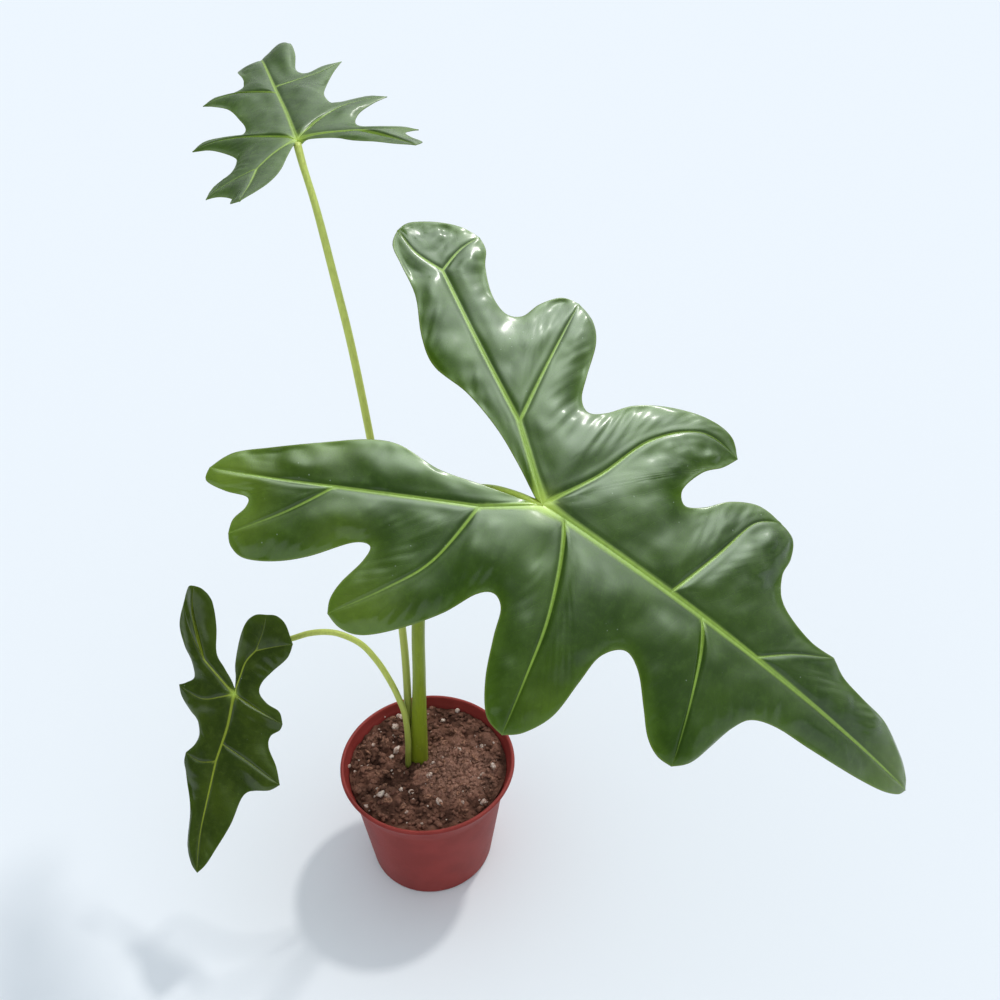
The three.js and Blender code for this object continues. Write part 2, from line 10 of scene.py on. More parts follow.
import bpy
import numpy as np
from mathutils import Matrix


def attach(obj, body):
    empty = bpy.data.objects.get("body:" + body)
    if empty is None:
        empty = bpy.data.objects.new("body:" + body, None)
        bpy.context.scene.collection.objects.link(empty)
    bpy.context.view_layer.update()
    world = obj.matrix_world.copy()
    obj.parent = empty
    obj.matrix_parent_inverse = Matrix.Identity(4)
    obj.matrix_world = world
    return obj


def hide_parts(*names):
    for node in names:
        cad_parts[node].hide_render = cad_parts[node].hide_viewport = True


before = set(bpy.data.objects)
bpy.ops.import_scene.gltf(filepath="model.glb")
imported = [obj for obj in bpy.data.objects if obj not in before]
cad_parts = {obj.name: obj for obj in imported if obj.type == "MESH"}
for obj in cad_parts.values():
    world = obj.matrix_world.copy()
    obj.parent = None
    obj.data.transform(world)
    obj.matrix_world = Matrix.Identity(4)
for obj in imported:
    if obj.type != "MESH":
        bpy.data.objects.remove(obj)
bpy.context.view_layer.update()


# Camera: the photographer stands close in front of the plant and looks down over it, so the pot
# is seen from above and the leaves nearly face to face.
CAMERA_AT = (0.0436, -0.3657, 0.510)
CAMERA_DIPS = math.radians(33.7)
LENS = 32.4
SENSOR = 36
NEAREST = 0.01
FARTHEST = 200

camera = bpy.data.objects.new("camera", bpy.data.cameras.new("camera"))
camera.data.lens = LENS
camera.data.sensor_width = SENSOR
camera.data.clip_start = NEAREST
camera.data.clip_end = FARTHEST
camera.location = CAMERA_AT
camera.rotation_euler = (math.pi / 2 - CAMERA_DIPS, 0, 0)
bpy.context.scene.collection.objects.link(camera)
bpy.context.scene.camera = camera
bpy.context.scene.view_settings.view_transform = "Standard"


# Floor: one wide sheet of pale, faintly blue board that fills the view.
FLOOR_REACH = 60
FLOOR_DROP = 0.0002
FLOOR_COLOUR = (0.84, 0.86, 0.88)
FLOOR_SHADE = (0.82, 0.84, 0.86)


class Wire:
    """One socket of a shader. Sums, products and powers of wires add their own Math nodes."""

    def __init__(self, tree, socket):
        self.tree = tree
        self.socket = socket

    def math(self, operation, *terms):
        made = self.tree.nodes.new("ShaderNodeMath")
        made.operation = operation
        for socket, term in zip(made.inputs, terms):
            if isinstance(term, Wire):
                self.tree.links.new(term.socket, socket)
            else:
                socket.default_value = term
        return Wire(self.tree, made.outputs[0])

    def __add__(self, other):
        return self.math("ADD", self, other)

    def __sub__(self, other):
        return self.math("SUBTRACT", self, other)

    def __mul__(self, other):
        return self.math("MULTIPLY", self, other)

    def __truediv__(self, other):
        return self.math("DIVIDE", self, other)

    def __pow__(self, other):
        return self.math("POWER", self, other)

    def __rsub__(self, other):
        return self.math("SUBTRACT", other, self)

    def __rtruediv__(self, other):
        return self.math("DIVIDE", other, self)

    __radd__ = __add__
    __rmul__ = __mul__

    def between(self, low, high):
        """0 below low, 1 above high, and a smooth step in between."""
        share = self.math("ADD", (self - low) / (high - low), 0)
        share.socket.node.use_clamp = True
        return share * share * (3 - 2 * share)


class Finish:
    """A material, or the room's light, under construction: nodes are added by calls, the shader last."""

    def __init__(self, name, kind="materials"):
        self.made = getattr(bpy.data, kind).new(name)
        self.made.use_nodes = True
        self.tree = self.made.node_tree
        self.tree.nodes.clear()

    def node(self, kind, settings=None, sockets=None, output=0):
        """Any node: its settings first, then a value or a wire for each of its sockets."""
        made = self.tree.nodes.new(kind)
        for name, value in (settings or {}).items():
            setattr(made, name, value)
        for name, value in (sockets or {}).items():
            if isinstance(value, Wire):
                self.tree.links.new(value.socket, made.inputs[name])
            elif isinstance(value, (int, float)):
                made.inputs[name].default_value = value
            else:
                size = len(made.inputs[name].default_value)
                made.inputs[name].default_value = (*value, 1)[:size]
        return Wire(self.tree, made.outputs[output] if made.outputs else None)

    def place(self):
        """The point on the piece, in metres."""
        return self.node("ShaderNodeTexCoord", output=3)

    def parts(self, point):
        """The three numbers of a point, each as a wire."""
        split = self.node("ShaderNodeSeparateXYZ", sockets={0: point}).socket.node
        return [Wire(self.tree, socket) for socket in split.outputs]

    def attribute(self, name):
        return self.node("ShaderNodeAttribute", {"attribute_name": name}, output=2)

    def noise(self, size, detail=3, roughness=0.5, warp=0):
        """Cloudy values about 0.5, with lumps of that size in metres."""
        sockets = {"Vector": self.place(), "Scale": 1 / size, "Detail": detail}
        sockets |= {"Roughness": roughness, "Distortion": warp}
        return self.node("ShaderNodeTexNoise", sockets=sockets)

    def mix(self, share, first, second):
        """Colour that goes from first to second as share goes from 0 to 1."""
        sockets = {0: share, 6: first, 7: second}
        return self.node("ShaderNodeMix", {"data_type": "RGBA"}, sockets, output=2)

    def bump(self, height, depth, strength=1, normal=None):
        """Surface relief: height 0 to 1 stands for depth metres."""
        sockets = {"Height": height, "Distance": depth, "Strength": strength}
        if normal:
            sockets["Normal"] = normal
        return self.node("ShaderNodeBump", sockets=sockets)

    def done(self, **sockets):
        """Closes the material with one shader, whose sockets are given with _ for a space."""
        named = {name.replace("_", " "): value for name, value in sockets.items()}
        shader = self.node("ShaderNodeBsdfPrincipled", sockets=named)
        self.node("ShaderNodeOutputMaterial", sockets={"Surface": shader})
        return self.made


def set_down(name, points, faces, material, smooth=True):
    """A mesh object of the given points, in metres, and of one or more arrays of faces."""
    mesh = bpy.data.meshes.new(name)
    mesh.from_pydata(np.asarray(points, float), [], [face for part in faces for face in part.tolist()])
    mesh.polygons.foreach_set("use_smooth", np.full(len(mesh.polygons), smooth))
    mesh.materials.append(material)
    mesh.update()
    piece = bpy.data.objects.new(name, mesh)
    bpy.context.scene.collection.objects.link(piece)
    return piece


def board():
    """Pale board, flat in colour, with no shine."""
    made = Finish("pale_board")
    cloud = made.noise(0.5, detail=2)
    shade = made.mix(cloud * 0.02, FLOOR_COLOUR, FLOOR_SHADE)
    return made.done(Base_Color=shade, Roughness=0.9, Specular_IOR_Level=0)


corners = [(x * FLOOR_REACH, y * FLOOR_REACH, -FLOOR_DROP) for x, y in ((-1, -1), (1, -1), (1, 1), (-1, 1))]
floor = set_down("floor", corners, [np.array([[0, 1, 2, 3]])], board())


# Light: a window behind the plant to the right throws the shadows towards the camera's left, and
# pale walls light it from all round. The leaves mirror a bright, soft skylight overhead, whose place
# and reach are the flat parts of directions towards it.
WINDOW = (0.39, 0.45, 1)
WINDOW_WIDTH = 5
WINDOW_STRENGTH = 0.95
WINDOW_COLOUR = (1, 0.985, 0.96)
WALLS = (0.755, 0.822, 0.888)
SEEN_WALLS = (0.864, 0.930, 1.0)
SKYLIGHT = (0.20, 0.17)
SKYLIGHT_REACH = (0.52, 0.62)
SKYLIGHT_GLOW = 9.8
SKYLIGHT_TINT = (0.89, 1.0, 0.91)
GLOSS_WALLS = 0.02

away = -np.asarray(WINDOW, float)
window = bpy.data.objects.new("window", bpy.data.lights.new("window", "SUN"))
window.data.energy = WINDOW_STRENGTH
window.data.angle = math.radians(WINDOW_WIDTH)
window.data.color = WINDOW_COLOUR
window.rotation_euler = (math.acos(-away[2] / np.linalg.norm(away)), 0, math.atan2(-away[0], away[1]))
bpy.context.scene.collection.objects.link(window)


def room():
    """Light from all round: even pale walls for matt surfaces, and for gloss a skylight whose glow
    falls off as a bell curve of the direction's horizontal distance from its middle."""
    made = Finish("room", "worlds")
    x, y, z = made.parts(made.node("ShaderNodeTexCoord"))
    off = ((x - SKYLIGHT[0]) / SKYLIGHT_REACH[0]) ** 2 + ((y - SKYLIGHT[1]) / SKYLIGHT_REACH[1]) ** 2
    glow = GLOSS_WALLS + SKYLIGHT_GLOW * off.math("EXPONENT", off * -1) * z.between(-0.05, 0.15)
    seen = made.node("ShaderNodeLightPath")
    gloss = Wire(made.tree, seen.socket.node.outputs["Is Glossy Ray"])
    mirrored = made.node("ShaderNodeBackground", sockets={"Color": SKYLIGHT_TINT, "Strength": glow})
    matt = made.node("ShaderNodeBackground", sockets={"Color": WALLS})
    shown = made.node("ShaderNodeBackground", sockets={"Color": SEEN_WALLS})
    light = made.node("ShaderNodeMixShader", sockets={0: gloss, 1: matt, 2: mirrored})
    light = made.node("ShaderNodeMixShader", sockets={0: seen, 1: light, 2: shown})
    made.node("ShaderNodeOutputWorld", sockets={"Surface": light})
    return made.made


bpy.context.scene.world = room()


# Pot: a thin injection moulding in brick-red plastic, with a slightly tapered wall, a flared collar
# and a rolled lip. It stands flat on its base, which has six drain holes.
MM = 0.001
POT_HEIGHT = 78.4
RIM_RADIUS = 52.5
COLLAR_RADIUS = 46.2
COLLAR_HEIGHT = 62
BASE_RADIUS = 38
BASE_ROUNDING = 1.8
WALL = 1.3
POT_FLOOR = 2
LIP = 2.4
DRAIN_HOLES = 6
DRAIN_RADIUS = 4
DRAIN_CIRCLE = 24
DRILL_PAST = 2
INNER_ROUNDING = 1.6
BASE_RINGS = (8, 20, 30)
POT_SIDES = 180
POT_SHARP = 50
POT_RED = (0.255, 0.036, 0.030)
POT_RED_DEEP = (0.212, 0.028, 0.023)
POT_DUST = (0.42, 0.22, 0.17)


def arc_of(centre, radius, start, end, count):
    """Points on a circle's arc from start to end degrees."""
    turn = np.radians(np.linspace(start, end, count))
    return np.stack([centre[0] + radius * np.cos(turn), centre[1] + radius * np.sin(turn)], 1)


def inside_radius(level):
    """The wall's inner radius at a height: it leans out evenly from the base to the collar."""
    return BASE_RADIUS + (COLLAR_RADIUS - BASE_RADIUS) * level / COLLAR_HEIGHT - WALL


def flare(share):
    """The collar's curve: a cubic that leaves the wall nearly upright and leans out to the lip."""
    top = POT_HEIGHT - LIP
    radius = RIM_RADIUS - 1
    held = [(COLLAR_RADIUS, COLLAR_HEIGHT), (COLLAR_RADIUS + 0.6, COLLAR_HEIGHT + 5),
            (radius - 2, top - 4), (radius, top)]
    a, b, c, d = np.asarray(held, float)
    s = np.asarray(share, float)[..., None]
    return a * (1 - s) ** 3 + 3 * b * s * (1 - s) ** 2 + 3 * c * s * s * (1 - s) + d * s**3


def closed_rings(rows, sides, inward=False):
    """Faces of a skin of rings, each of as many points as it has sides: four-cornered faces between
    the rings, and fans to the first ring's and the last ring's middle, which come after the rings."""
    row = np.arange(rows - 1)[:, None] * sides
    j = np.arange(sides)[None]
    after = (j + 1) % sides
    quads = np.stack([row + j, row + after, row + sides + after, row + sides + j], -1).reshape(-1, 4)
    middle = rows * sides
    end = middle - sides
    fans = np.concatenate([np.stack([np.full(sides, middle), after[0], j[0]], -1),
                           np.stack([np.full(sides, middle + 1), end + j[0], end + after[0]], -1)])
    if inward:
        return quads[:, [0, 3, 2, 1]], fans[:, [0, 2, 1]]
    return quads, fans


def turned(outline, sides):
    """Points and faces of an outline of (radius, height) turned round the axis. Its ends lie on the
    axis and are closed by fans, and it is walked with the plastic on its left."""
    outline = np.asarray(outline, float)
    turn = np.arange(sides) * 2 * np.pi / sides
    body = outline[1:-1]
    ring = np.stack([np.outer(body[:, 0], np.cos(turn)), np.outer(body[:, 0], np.sin(turn))], -1)
    height = np.repeat(body[:, 1], sides).reshape(len(body), sides, 1)
    points = np.concatenate([ring, height], -1).reshape(-1, 3)
    points = np.concatenate([points, [[0, 0, outline[0, 1]], [0, 0, outline[-1, 1]]]])
    return points, closed_rings(len(body), sides)


def red_plastic():
    """Satin plastic: a little cloudy in colour, with faint rings from the mould and rubbed dust low
    down."""
    made = Finish("red_plastic")
    cloud = made.noise(0.018, detail=4)
    dust = made.noise(0.0016, detail=5, roughness=0.7)
    low = 1 - made.parts(made.place())[2].between(0.0, 0.03)
    colour = made.mix(cloud.between(0.35, 0.7), POT_RED_DEEP, POT_RED)
    colour = made.mix(dust.between(0.55, 0.8) * (0.05 + 0.10 * low), colour, POT_DUST)
    rings = made.node("ShaderNodeTexWave", {"bands_direction": "Z", "wave_profile": "SIN"},
                      {"Vector": made.place(), "Scale": 260, "Distortion": 0.6})
    grain = made.noise(0.0005, detail=2)
    relief = made.bump(rings * 0.35 + grain * 0.65, 0.00006)
    return made.done(Base_Color=colour, Roughness=0.38 + 0.16 * dust, Normal=relief, IOR=1.49,
                     Specular_IOR_Level=0.12)


def pot():
    """The pot's outline turned once round, with its drain holes cut through the floor."""
    base = [(radius, 0) for radius in (0, *BASE_RINGS)]
    edge = arc_of((BASE_RADIUS - BASE_ROUNDING + 0.1, BASE_ROUNDING), BASE_ROUNDING, -90, -4, 9)
    wall = np.linspace(edge[-1], (COLLAR_RADIUS, COLLAR_HEIGHT), 12)[1:]
    collar = flare(np.linspace(0, 1, 18))
    lip = arc_of((RIM_RADIUS - LIP / 2, POT_HEIGHT - LIP / 2), LIP / 2, -50, 165, 22)
    inner_collar = collar[-3::-1] - (WALL, 0)
    rounding_at = (inside_radius(POT_FLOOR) - INNER_ROUNDING, POT_FLOOR + INNER_ROUNDING)
    rounding = arc_of(rounding_at, INNER_ROUNDING, 0, -90, 7)
    inside = np.linspace(inner_collar[-1], rounding[0], 6)[1:-1]
    bottom = [(radius, POT_FLOOR) for radius in (*BASE_RINGS[:0:-1], 0)]
    outline = np.concatenate([base, edge, wall, collar[1:-1], lip, inner_collar, inside, rounding, bottom])
    points, faces = turned(outline, POT_SIDES)
    piece = set_down("nursery_pot", points * MM, faces, red_plastic())
    turn = np.arange(DRAIN_HOLES) * 2 * np.pi / DRAIN_HOLES
    low, high = -DRILL_PAST, POT_FLOOR + DRILL_PAST
    drill, drill_faces = turned([(0, low), (DRAIN_RADIUS, low), (DRAIN_RADIUS, high), (0, high)], 32)
    centres = DRAIN_CIRCLE * np.stack([np.cos(turn), np.sin(turn), 0 * turn], -1)
    drills = (drill + centres[:, None]).reshape(-1, 3)
    drill_faces = [part + hole * len(drill) for hole in range(DRAIN_HOLES) for part in drill_faces]
    cutter = set_down("drill", drills * MM, drill_faces, piece.data.materials[0])
    cut = piece.modifiers.new("drain_holes", "BOOLEAN")
    cut.object = cutter
    cut.operation = "DIFFERENCE"
    cut.solver = "EXACT"
    drilled = bpy.data.meshes.new_from_object(piece.evaluated_get(bpy.context.evaluated_depsgraph_get()))
    piece.modifiers.clear()
    piece.data = drilled
    bpy.data.objects.remove(cutter)
    piece.data.set_sharp_from_angle(angle=math.radians(POT_SHARP))
    return piece


nursery_pot = pot()
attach(nursery_pot, "root")
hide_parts("pot")


# Potting mix: damp peat and coir pressed into the pot by hand, nearly up to the lip. Its face is
# crumbled into clods, and dips where the stalks come up.
SOIL_TOP = 72.2
STALKS_AT = (-9, 4)
STALKS_DIP = 1.6
DIP_SPREAD = 120
GAP = 0.3
# The darkest peat colour is used for painted shade in the hollows, and also for darker clouds.
PEAT_DARK = (0.044, 0.018, 0.012)
PEAT = (0.232, 0.105, 0.070)
PEAT_DRY = (0.430, 0.230, 0.165)
PEAT_FIBRE = (0.23, 0.13, 0.085)
CLODS = 90
CRUMBS_RISE = 0.75


def clod_list():
    """The mix's large clods, as the solid has them: (x, y, radius, height) from one fixed run of
    random numbers."""
    reach = flare(0.6)[0] - WALL - GAP - 0.2 - 3
    state = 11
    draws = []
    for _ in range(4 * CLODS):
        state = (state * 1664525 + 1013904223) % 2**32
        draws.append(state / 2**32)
    out, turn, size, rise = np.reshape(draws, (CLODS, 4)).T
    away = reach * np.sqrt(out)
    x = away * np.cos(2 * np.pi * turn)
    y = away * np.sin(2 * np.pi * turn)
    return np.stack([x, y, 2.5 + 3.5 * size, 0.5 + 1.6 * rise], 1)


def lumps(x, y, size, seed):
    """Smooth random heights from -1 to 1: random values on a lattice of that size, eased between."""
    lattice = np.random.default_rng(seed).uniform(-1, 1, (97, 97))
    u = np.asarray(x) / size + 48
    v = np.asarray(y) / size + 48
    i = np.clip(np.floor(u).astype(int), 0, 95)
    j = np.clip(np.floor(v).astype(int), 0, 95)
    a = u - i
    b = v - j
    a = a * a * (3 - 2 * a)
    b = b * b * (3 - 2 * b)
    near = lattice[i, j] * (1 - a) + lattice[i + 1, j] * a
    far = lattice[i, j + 1] * (1 - a) + lattice[i + 1, j + 1] * a
    return near * (1 - b) + far * b


def soil_height(x, y):
    """The mix's face: its level, a dip round the stalks, a low dome for each clod, and crumbs, which
    are ridged sums of smaller and smaller lumps, less what they raise it by on the whole."""
    x = np.asarray(x, float)
    y = np.asarray(y, float)
    off = (x - STALKS_AT[0]) ** 2 + (y - STALKS_AT[1]) ** 2
    z = SOIL_TOP - STALKS_DIP * np.exp(-off / DIP_SPREAD)
    for clod_x, clod_y, radius, height in clod_list():
        z = z + height * np.clip(1 - ((x - clod_x) ** 2 + (y - clod_y) ** 2) / radius**2, 0, None)
    z = z + 1.1 * lumps(x, y, 4.6, 1) + 1.1 * np.abs(lumps(x, y, 2.6, 2)) + 0.5 * np.abs(lumps(x, y, 1.2, 3))
    return z - CRUMBS_RISE


def peat():
    """Damp peat, with painted shade: the lower its face lies the darker it is, so it is nearly black in its
    hollows and where the stalks stand, and lighter on the raised tops; drier and browner on the right of
    the stalks, with matt, fibrous crumbs."""
    made = Finish("peat_mix")
    x, y, z = made.parts(made.place())
    cloud = made.noise(0.011, detail=4, roughness=0.6)
    crumb = made.noise(0.0016, detail=5, roughness=0.7)
    fibre = made.noise(0.0009, detail=4, roughness=0.75, warp=2.5)
    from_dry = ((x - 0.017) / 0.026) ** 2 + ((y + 0.004) / 0.024) ** 2
    dry = (1 - from_dry.between(0.2, 1.3)) * 0.75
    # Painted shade by height: the lower the face lies, the darker, so hollows and the dip round the stalks
    # look shaded and the raised tops lighter.
    high = z.between(0.0712, 0.0748)
    colour = made.mix(high * 0.5 + 0.5 * cloud.between(0.4, 0.62), PEAT_DARK, PEAT)
    colour = made.mix((dry + 0.25 * high) * crumb.between(0.3, 0.65), colour, PEAT_DRY)
    colour = made.mix(fibre.between(0.62, 0.78) * 0.55, colour, PEAT_FIBRE)
    relief = made.bump(crumb * 0.6 + fibre * 0.4, 0.0011)
    return made.done(Base_Color=colour, Roughness=0.93, Normal=relief, Specular_IOR_Level=0.1)


def mix_body():
    """A disc of rings that follow the soil's height, closed below by the pot's inside."""
    rings, around = 100, 240
    edge = flare(0.6)[0] - WALL - 0.15
    turn = np.arange(around) * 2 * np.pi / around
    reach = edge * (np.arange(1, rings + 1) / rings) ** 0.9
    x = np.outer(reach, np.cos(turn))
    y = np.outer(reach, np.sin(turn))
    z = soil_height(x, y)
    foot = POT_FLOOR + GAP
    for level in (COLLAR_HEIGHT, foot):
        side = inside_radius(level) - GAP
        x = np.concatenate([x, [side * np.cos(turn)]])
        y = np.concatenate([y, [side * np.sin(turn)]])
        z = np.concatenate([z, [np.full(around, level)]])
    points = np.stack([x, y, z], -1).reshape(-1, 3)
    points = np.concatenate([points, [[0, 0, soil_height(0, 0)], [0, 0, foot]]])
    return set_down("peat_and_coir", points * MM, closed_rings(len(x), around, inward=True), peat())


potting_mix = mix_body()
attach(potting_mix, "root")
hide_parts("potting_mix")


# Grains in the mix: crumbs of peat, cream perlite, and chips of orange-brown bark, all worked in by
# hand and lying half sunk in its face. The largest perlite lies where it was seen.
GRAINS_REACH = 45.5
PERLITE = (0.74, 0.60, 0.51)
PERLITE_STAIN = (0.36, 0.22, 0.17)
BARK = (0.33, 0.16, 0.10)
BARK_STAIN = (0.10, 0.042, 0.027)


def pebbles(centres, sizes, seed, flatness=(1, 1, 1), rough=0.25, sides=10, rows=6, proud=0.35):
    """Many small lumps in one mesh. Each is a ball of sides by rows, its radius changed by random
    amounts, stretched by flatness, turned at random, and set at its centre on the soil."""
    random = np.random.default_rng(seed)
    count = len(centres)
    down = np.pi * np.arange(1, rows) / rows
    turn = 2 * np.pi * np.arange(sides) / sides
    ring = np.stack([np.outer(np.sin(down), np.cos(turn)), np.outer(np.sin(down), np.sin(turn)),
                     np.outer(np.cos(down), np.ones(sides))], -1).reshape(-1, 3)
    ball = np.concatenate([ring, [[0, 0, 1], [0, 0, -1]]])
    radius = 1 + rough * random.uniform(-1, 1, (count, len(ball), 1))
    shape = ball * radius * np.asarray(flatness) * random.uniform(0.75, 1.25, (count, 1, 3))
    axis = random.normal(size=(count, 3))
    axis[:, 2] *= 1 if min(flatness) == max(flatness) else 4
    axis /= np.linalg.norm(axis, axis=1)[:, None]
    side = np.cross(axis, random.normal(size=(count, 3)))
    side /= np.linalg.norm(side, axis=1)[:, None]
    frames = np.stack([side, np.cross(axis, side), axis], 1)
    level = soil_height(centres[:, 0], centres[:, 1]) + proud * sizes * min(flatness)
    base = np.column_stack([centres, level])
    points = base[:, None] + sizes[:, None, None] * np.einsum("npk,nkc->npc", shape, frames)
    start = (np.arange(count) * len(ball))[:, None, None]
    faces = [(part + start).reshape(-1, part.shape[1]) for part in closed_rings(rows - 1, sides, inward=True)]
    return points.reshape(-1, 3), faces


def strewn(count, seed, clear=7.5):
    """Random places over the mix, even by area, clear of the stalks."""
    random = np.random.default_rng(seed)
    away = GRAINS_REACH * np.sqrt(random.uniform(0, 1, 3 * count))
    turn = random.uniform(0, 2 * np.pi, 3 * count)
    spots = np.stack([away * np.cos(turn), away * np.sin(turn)], 1)
    free = np.linalg.norm(spots - STALKS_AT, axis=1) > clear
    return spots[free][:count]


def grain(name, colour, stain, size, depth):
    """A matt, broken surface: a base colour with stains from the peat in its hollows."""
    made = Finish(name)
    cloud = made.noise(size, detail=4, roughness=0.65)
    fine = made.noise(size / 5, detail=3)
    shade = made.mix(cloud.between(0.38, 0.62), stain, colour)
    relief = made.bump(cloud * 0.5 + fine * 0.5, depth)
    return made.done(Base_Color=shade, Roughness=0.9, Normal=relief, Specular_IOR_Level=0.3)


SEEN_PERLITE = [
    (-21, 39, 2.4), (-23, 30, 2.9), (-20, 12, 2.9), (-35, 14, 1.5), (-48, -1, 1.4), (-44, -5, 1.1),
    (-31, 39, 1.3), (16, 44, 2.2), (7, 36, 2.0), (28, 22, 1.3), (32, 15, 1.7), (19, 11, 1.5), (3, 2, 1.2),
    (1, -8, 1.9), (-9, -19, 2.3), (-15, -18, 1.7), (-26, -23, 2.4), (-22, -25, 1.7), (-29, -18, 1.0),
    (8, -27, 2.0), (40, -3, 2.5), (33, -7, 1.4), (34, -27, 2.3), (22, -29, 1.4), (-10, -35, 1.2),
    (-7, -26, 1.4), (-1, -42, 1.2), (-34, -30, 1.4), (41, 4, 1.0), (-23, 7, 1.5),
]
seen = np.asarray(SEEN_PERLITE, float)
few = strewn(70, 5)
spots = np.concatenate([seen[:, :2], few])
radii = np.concatenate([seen[:, 2] * 0.95, np.random.default_rng(6).uniform(0.3, 0.8, len(few))])
white = grain("perlite", PERLITE, PERLITE_STAIN, 0.0022, 0.0005)
points, faces = pebbles(spots, radii, 7, flatness=(1, 0.8, 0.7), rough=0.3, sides=12, rows=7, proud=0.3)
perlite = set_down("perlite_grains", points * MM, faces, white)

chips = strewn(75, 8)
chip_sizes = np.random.default_rng(9).uniform(1.0, 3.0, len(chips))
brown = grain("bark", BARK, BARK_STAIN, 0.0014, 0.0006)
points, faces = pebbles(chips, chip_sizes, 10, flatness=(1, 0.55, 0.22), rough=0.3, sides=8, proud=1.4)
bark = set_down("bark_chips", points * MM, faces, brown, smooth=False)

crumbs = strewn(1100, 12, clear=5)
crumb_sizes = np.random.default_rng(13).uniform(0.4, 1.7, len(crumbs)) ** 1.3
points, faces = pebbles(crumbs, crumb_sizes, 14, flatness=(1, 0.8, 0.65), rough=0.35, sides=8, rows=5)
crumb_piece = set_down("peat_crumbs", points * MM, faces, potting_mix.data.materials[0])

for piece in (perlite, bark, crumb_piece):
    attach(piece, "root")
    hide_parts("potting_mix")


# Rhizome: a stubby, ringed corm with a few thick roots, buried in the mix. Its solid is right as it
# is, and gets the skin of a real one: brown, papery and ringed.
ROOT_BROWN = (0.30, 0.17, 0.085)
ROOT_RING = (0.11, 0.058, 0.032)


def root_skin():
    """Papery brown skin with darker rings across it."""
    made = Finish("root_skin")
    rings = made.node("ShaderNodeTexWave", {"bands_direction": "Z"},
                      {"Vector": made.place(), "Scale": 70, "Distortion": 3, "Detail": 3, "Detail Scale": 2})
    fleck = made.noise(0.0025, detail=4)
    colour = made.mix(rings * 0.6 + fleck * 0.4, ROOT_BROWN, ROOT_RING)
    relief = made.bump(rings * 0.7 + fleck * 0.3, 0.0006)
    return made.done(Base_Color=colour, Roughness=0.85, Normal=relief)


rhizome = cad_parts["rhizome"]
rhizome.data.materials.clear()
rhizome.data.materials.append(root_skin())


# Stalks: three smooth, juicy leaf stalks that stand close together. The big leaf's stalk is stout
# and olive green, and its foot widens into a sheath round the other two.
def through(points, places):
    """A smooth curve through given points. Between two points it is the cubic whose slope at each
    is half the step from the point before to the point after. Places count the points from 0."""
    points = np.asarray(points, float)
    last = len(points) - 1
    start = np.clip(np.floor(places).astype(int), 0, last)
    share = (places - start)[:, None]
    before = points[np.maximum(start - 1, 0)]
    here = points[start]
    there = points[np.minimum(start + 1, last)]
    after = points[np.minimum(start + 2, last)]
    leave = (there - before) / 2
    arrive = (after - here) / 2
    return ((2 * here - 2 * there + leave + arrive) * share**3
            + (3 * there - 3 * here - 2 * leave - arrive) * share**2 + leave * share + here)


def evenly(points, count):
    """count + 1 places at even distances along the smooth curve through the points."""
    fine = through(points, np.linspace(0, len(points) - 1, 600))
    along = np.concatenate([[0], np.cumsum(np.linalg.norm(np.diff(fine, axis=0), axis=1))])
    wanted = np.linspace(0, along[-1], count + 1)
    return np.stack([np.interp(wanted, along, column) for column in fine.T], 1)


STALK_STEPS = 170
STALK_SIDES = 28
STALK_FOOT = 58
STALK_FLECK = (0.42, 0.48, 0.20)
# The next colour is painted shade, nearly black, for the groove down the sheath where the other two stalks
# sit.
SHEATH_GROOVE_SHADE = (0.05, 0.055, 0.008)


def stalk(name, points, radii, material, sheath=0, opens=0.0, boss=0.0):
    """A round stalk carried along its route and closed by a low cone at each end. Its radius follows
    the list, is fluted a little, and swells by boss at the top. On the side that opens faces it
    swells by sheath times the radius, less a groove, fading over the lowest third."""
    steps, sides = STALK_STEPS, STALK_SIDES
    route = evenly(points, steps)
    share = np.linspace(0, 1, steps + 1)
    radius = np.interp(share, np.linspace(0, 1, len(radii)), radii)
    radius = radius + boss * np.exp(-((1 - share) * steps / 5) ** 2)
    ahead = np.gradient(route, axis=0)
    ahead /= np.linalg.norm(ahead, axis=1)[:, None]
    east = np.array([1.0, 0, 0]) - ahead * ahead[:, :1]
    east /= np.linalg.norm(east, axis=1)[:, None]
    north = np.cross(ahead, east)
    turn = np.arange(sides) * 2 * np.pi / sides
    lobe = np.clip(np.cos(turn - opens), 0, 1) ** 3
    groove = np.exp(-(np.angle(np.exp(1j * (turn - opens))) / 0.28) ** 2)
    fade = np.clip(1 - share / 0.36, 0, 1) ** 1.4
    flutes = 1 + 0.012 * np.cos(9 * turn)
    size = radius[:, None] * (flutes + sheath * fade[:, None] * (lobe - 0.25 * groove))
    ring = east[:, None] * np.cos(turn)[:, None] + north[:, None] * np.sin(turn)[:, None]
    tube = route[:, None] + ring * size[..., None]
    ends = [route[0] - ahead[0] * radius[0] * 0.4, route[-1] + ahead[-1] * radius[-1] * 0.4]
    points = np.concatenate([tube.reshape(-1, 3), ends])
    piece = set_down(name, points * MM, closed_rings(steps + 1, sides), material)
    height = np.concatenate([np.repeat(share, sides), [0, 1]])
    # Where the painted shade goes: along the sheath's groove, fading up the stalk.
    seam = np.concatenate([(fade[:, None] * groove).ravel(), [0, 0]])
    for field, values in (("height", height), ("seam", seam)):
        piece.data.attributes.new(field, "FLOAT", "POINT").data.foreach_set("value", values)
    return piece


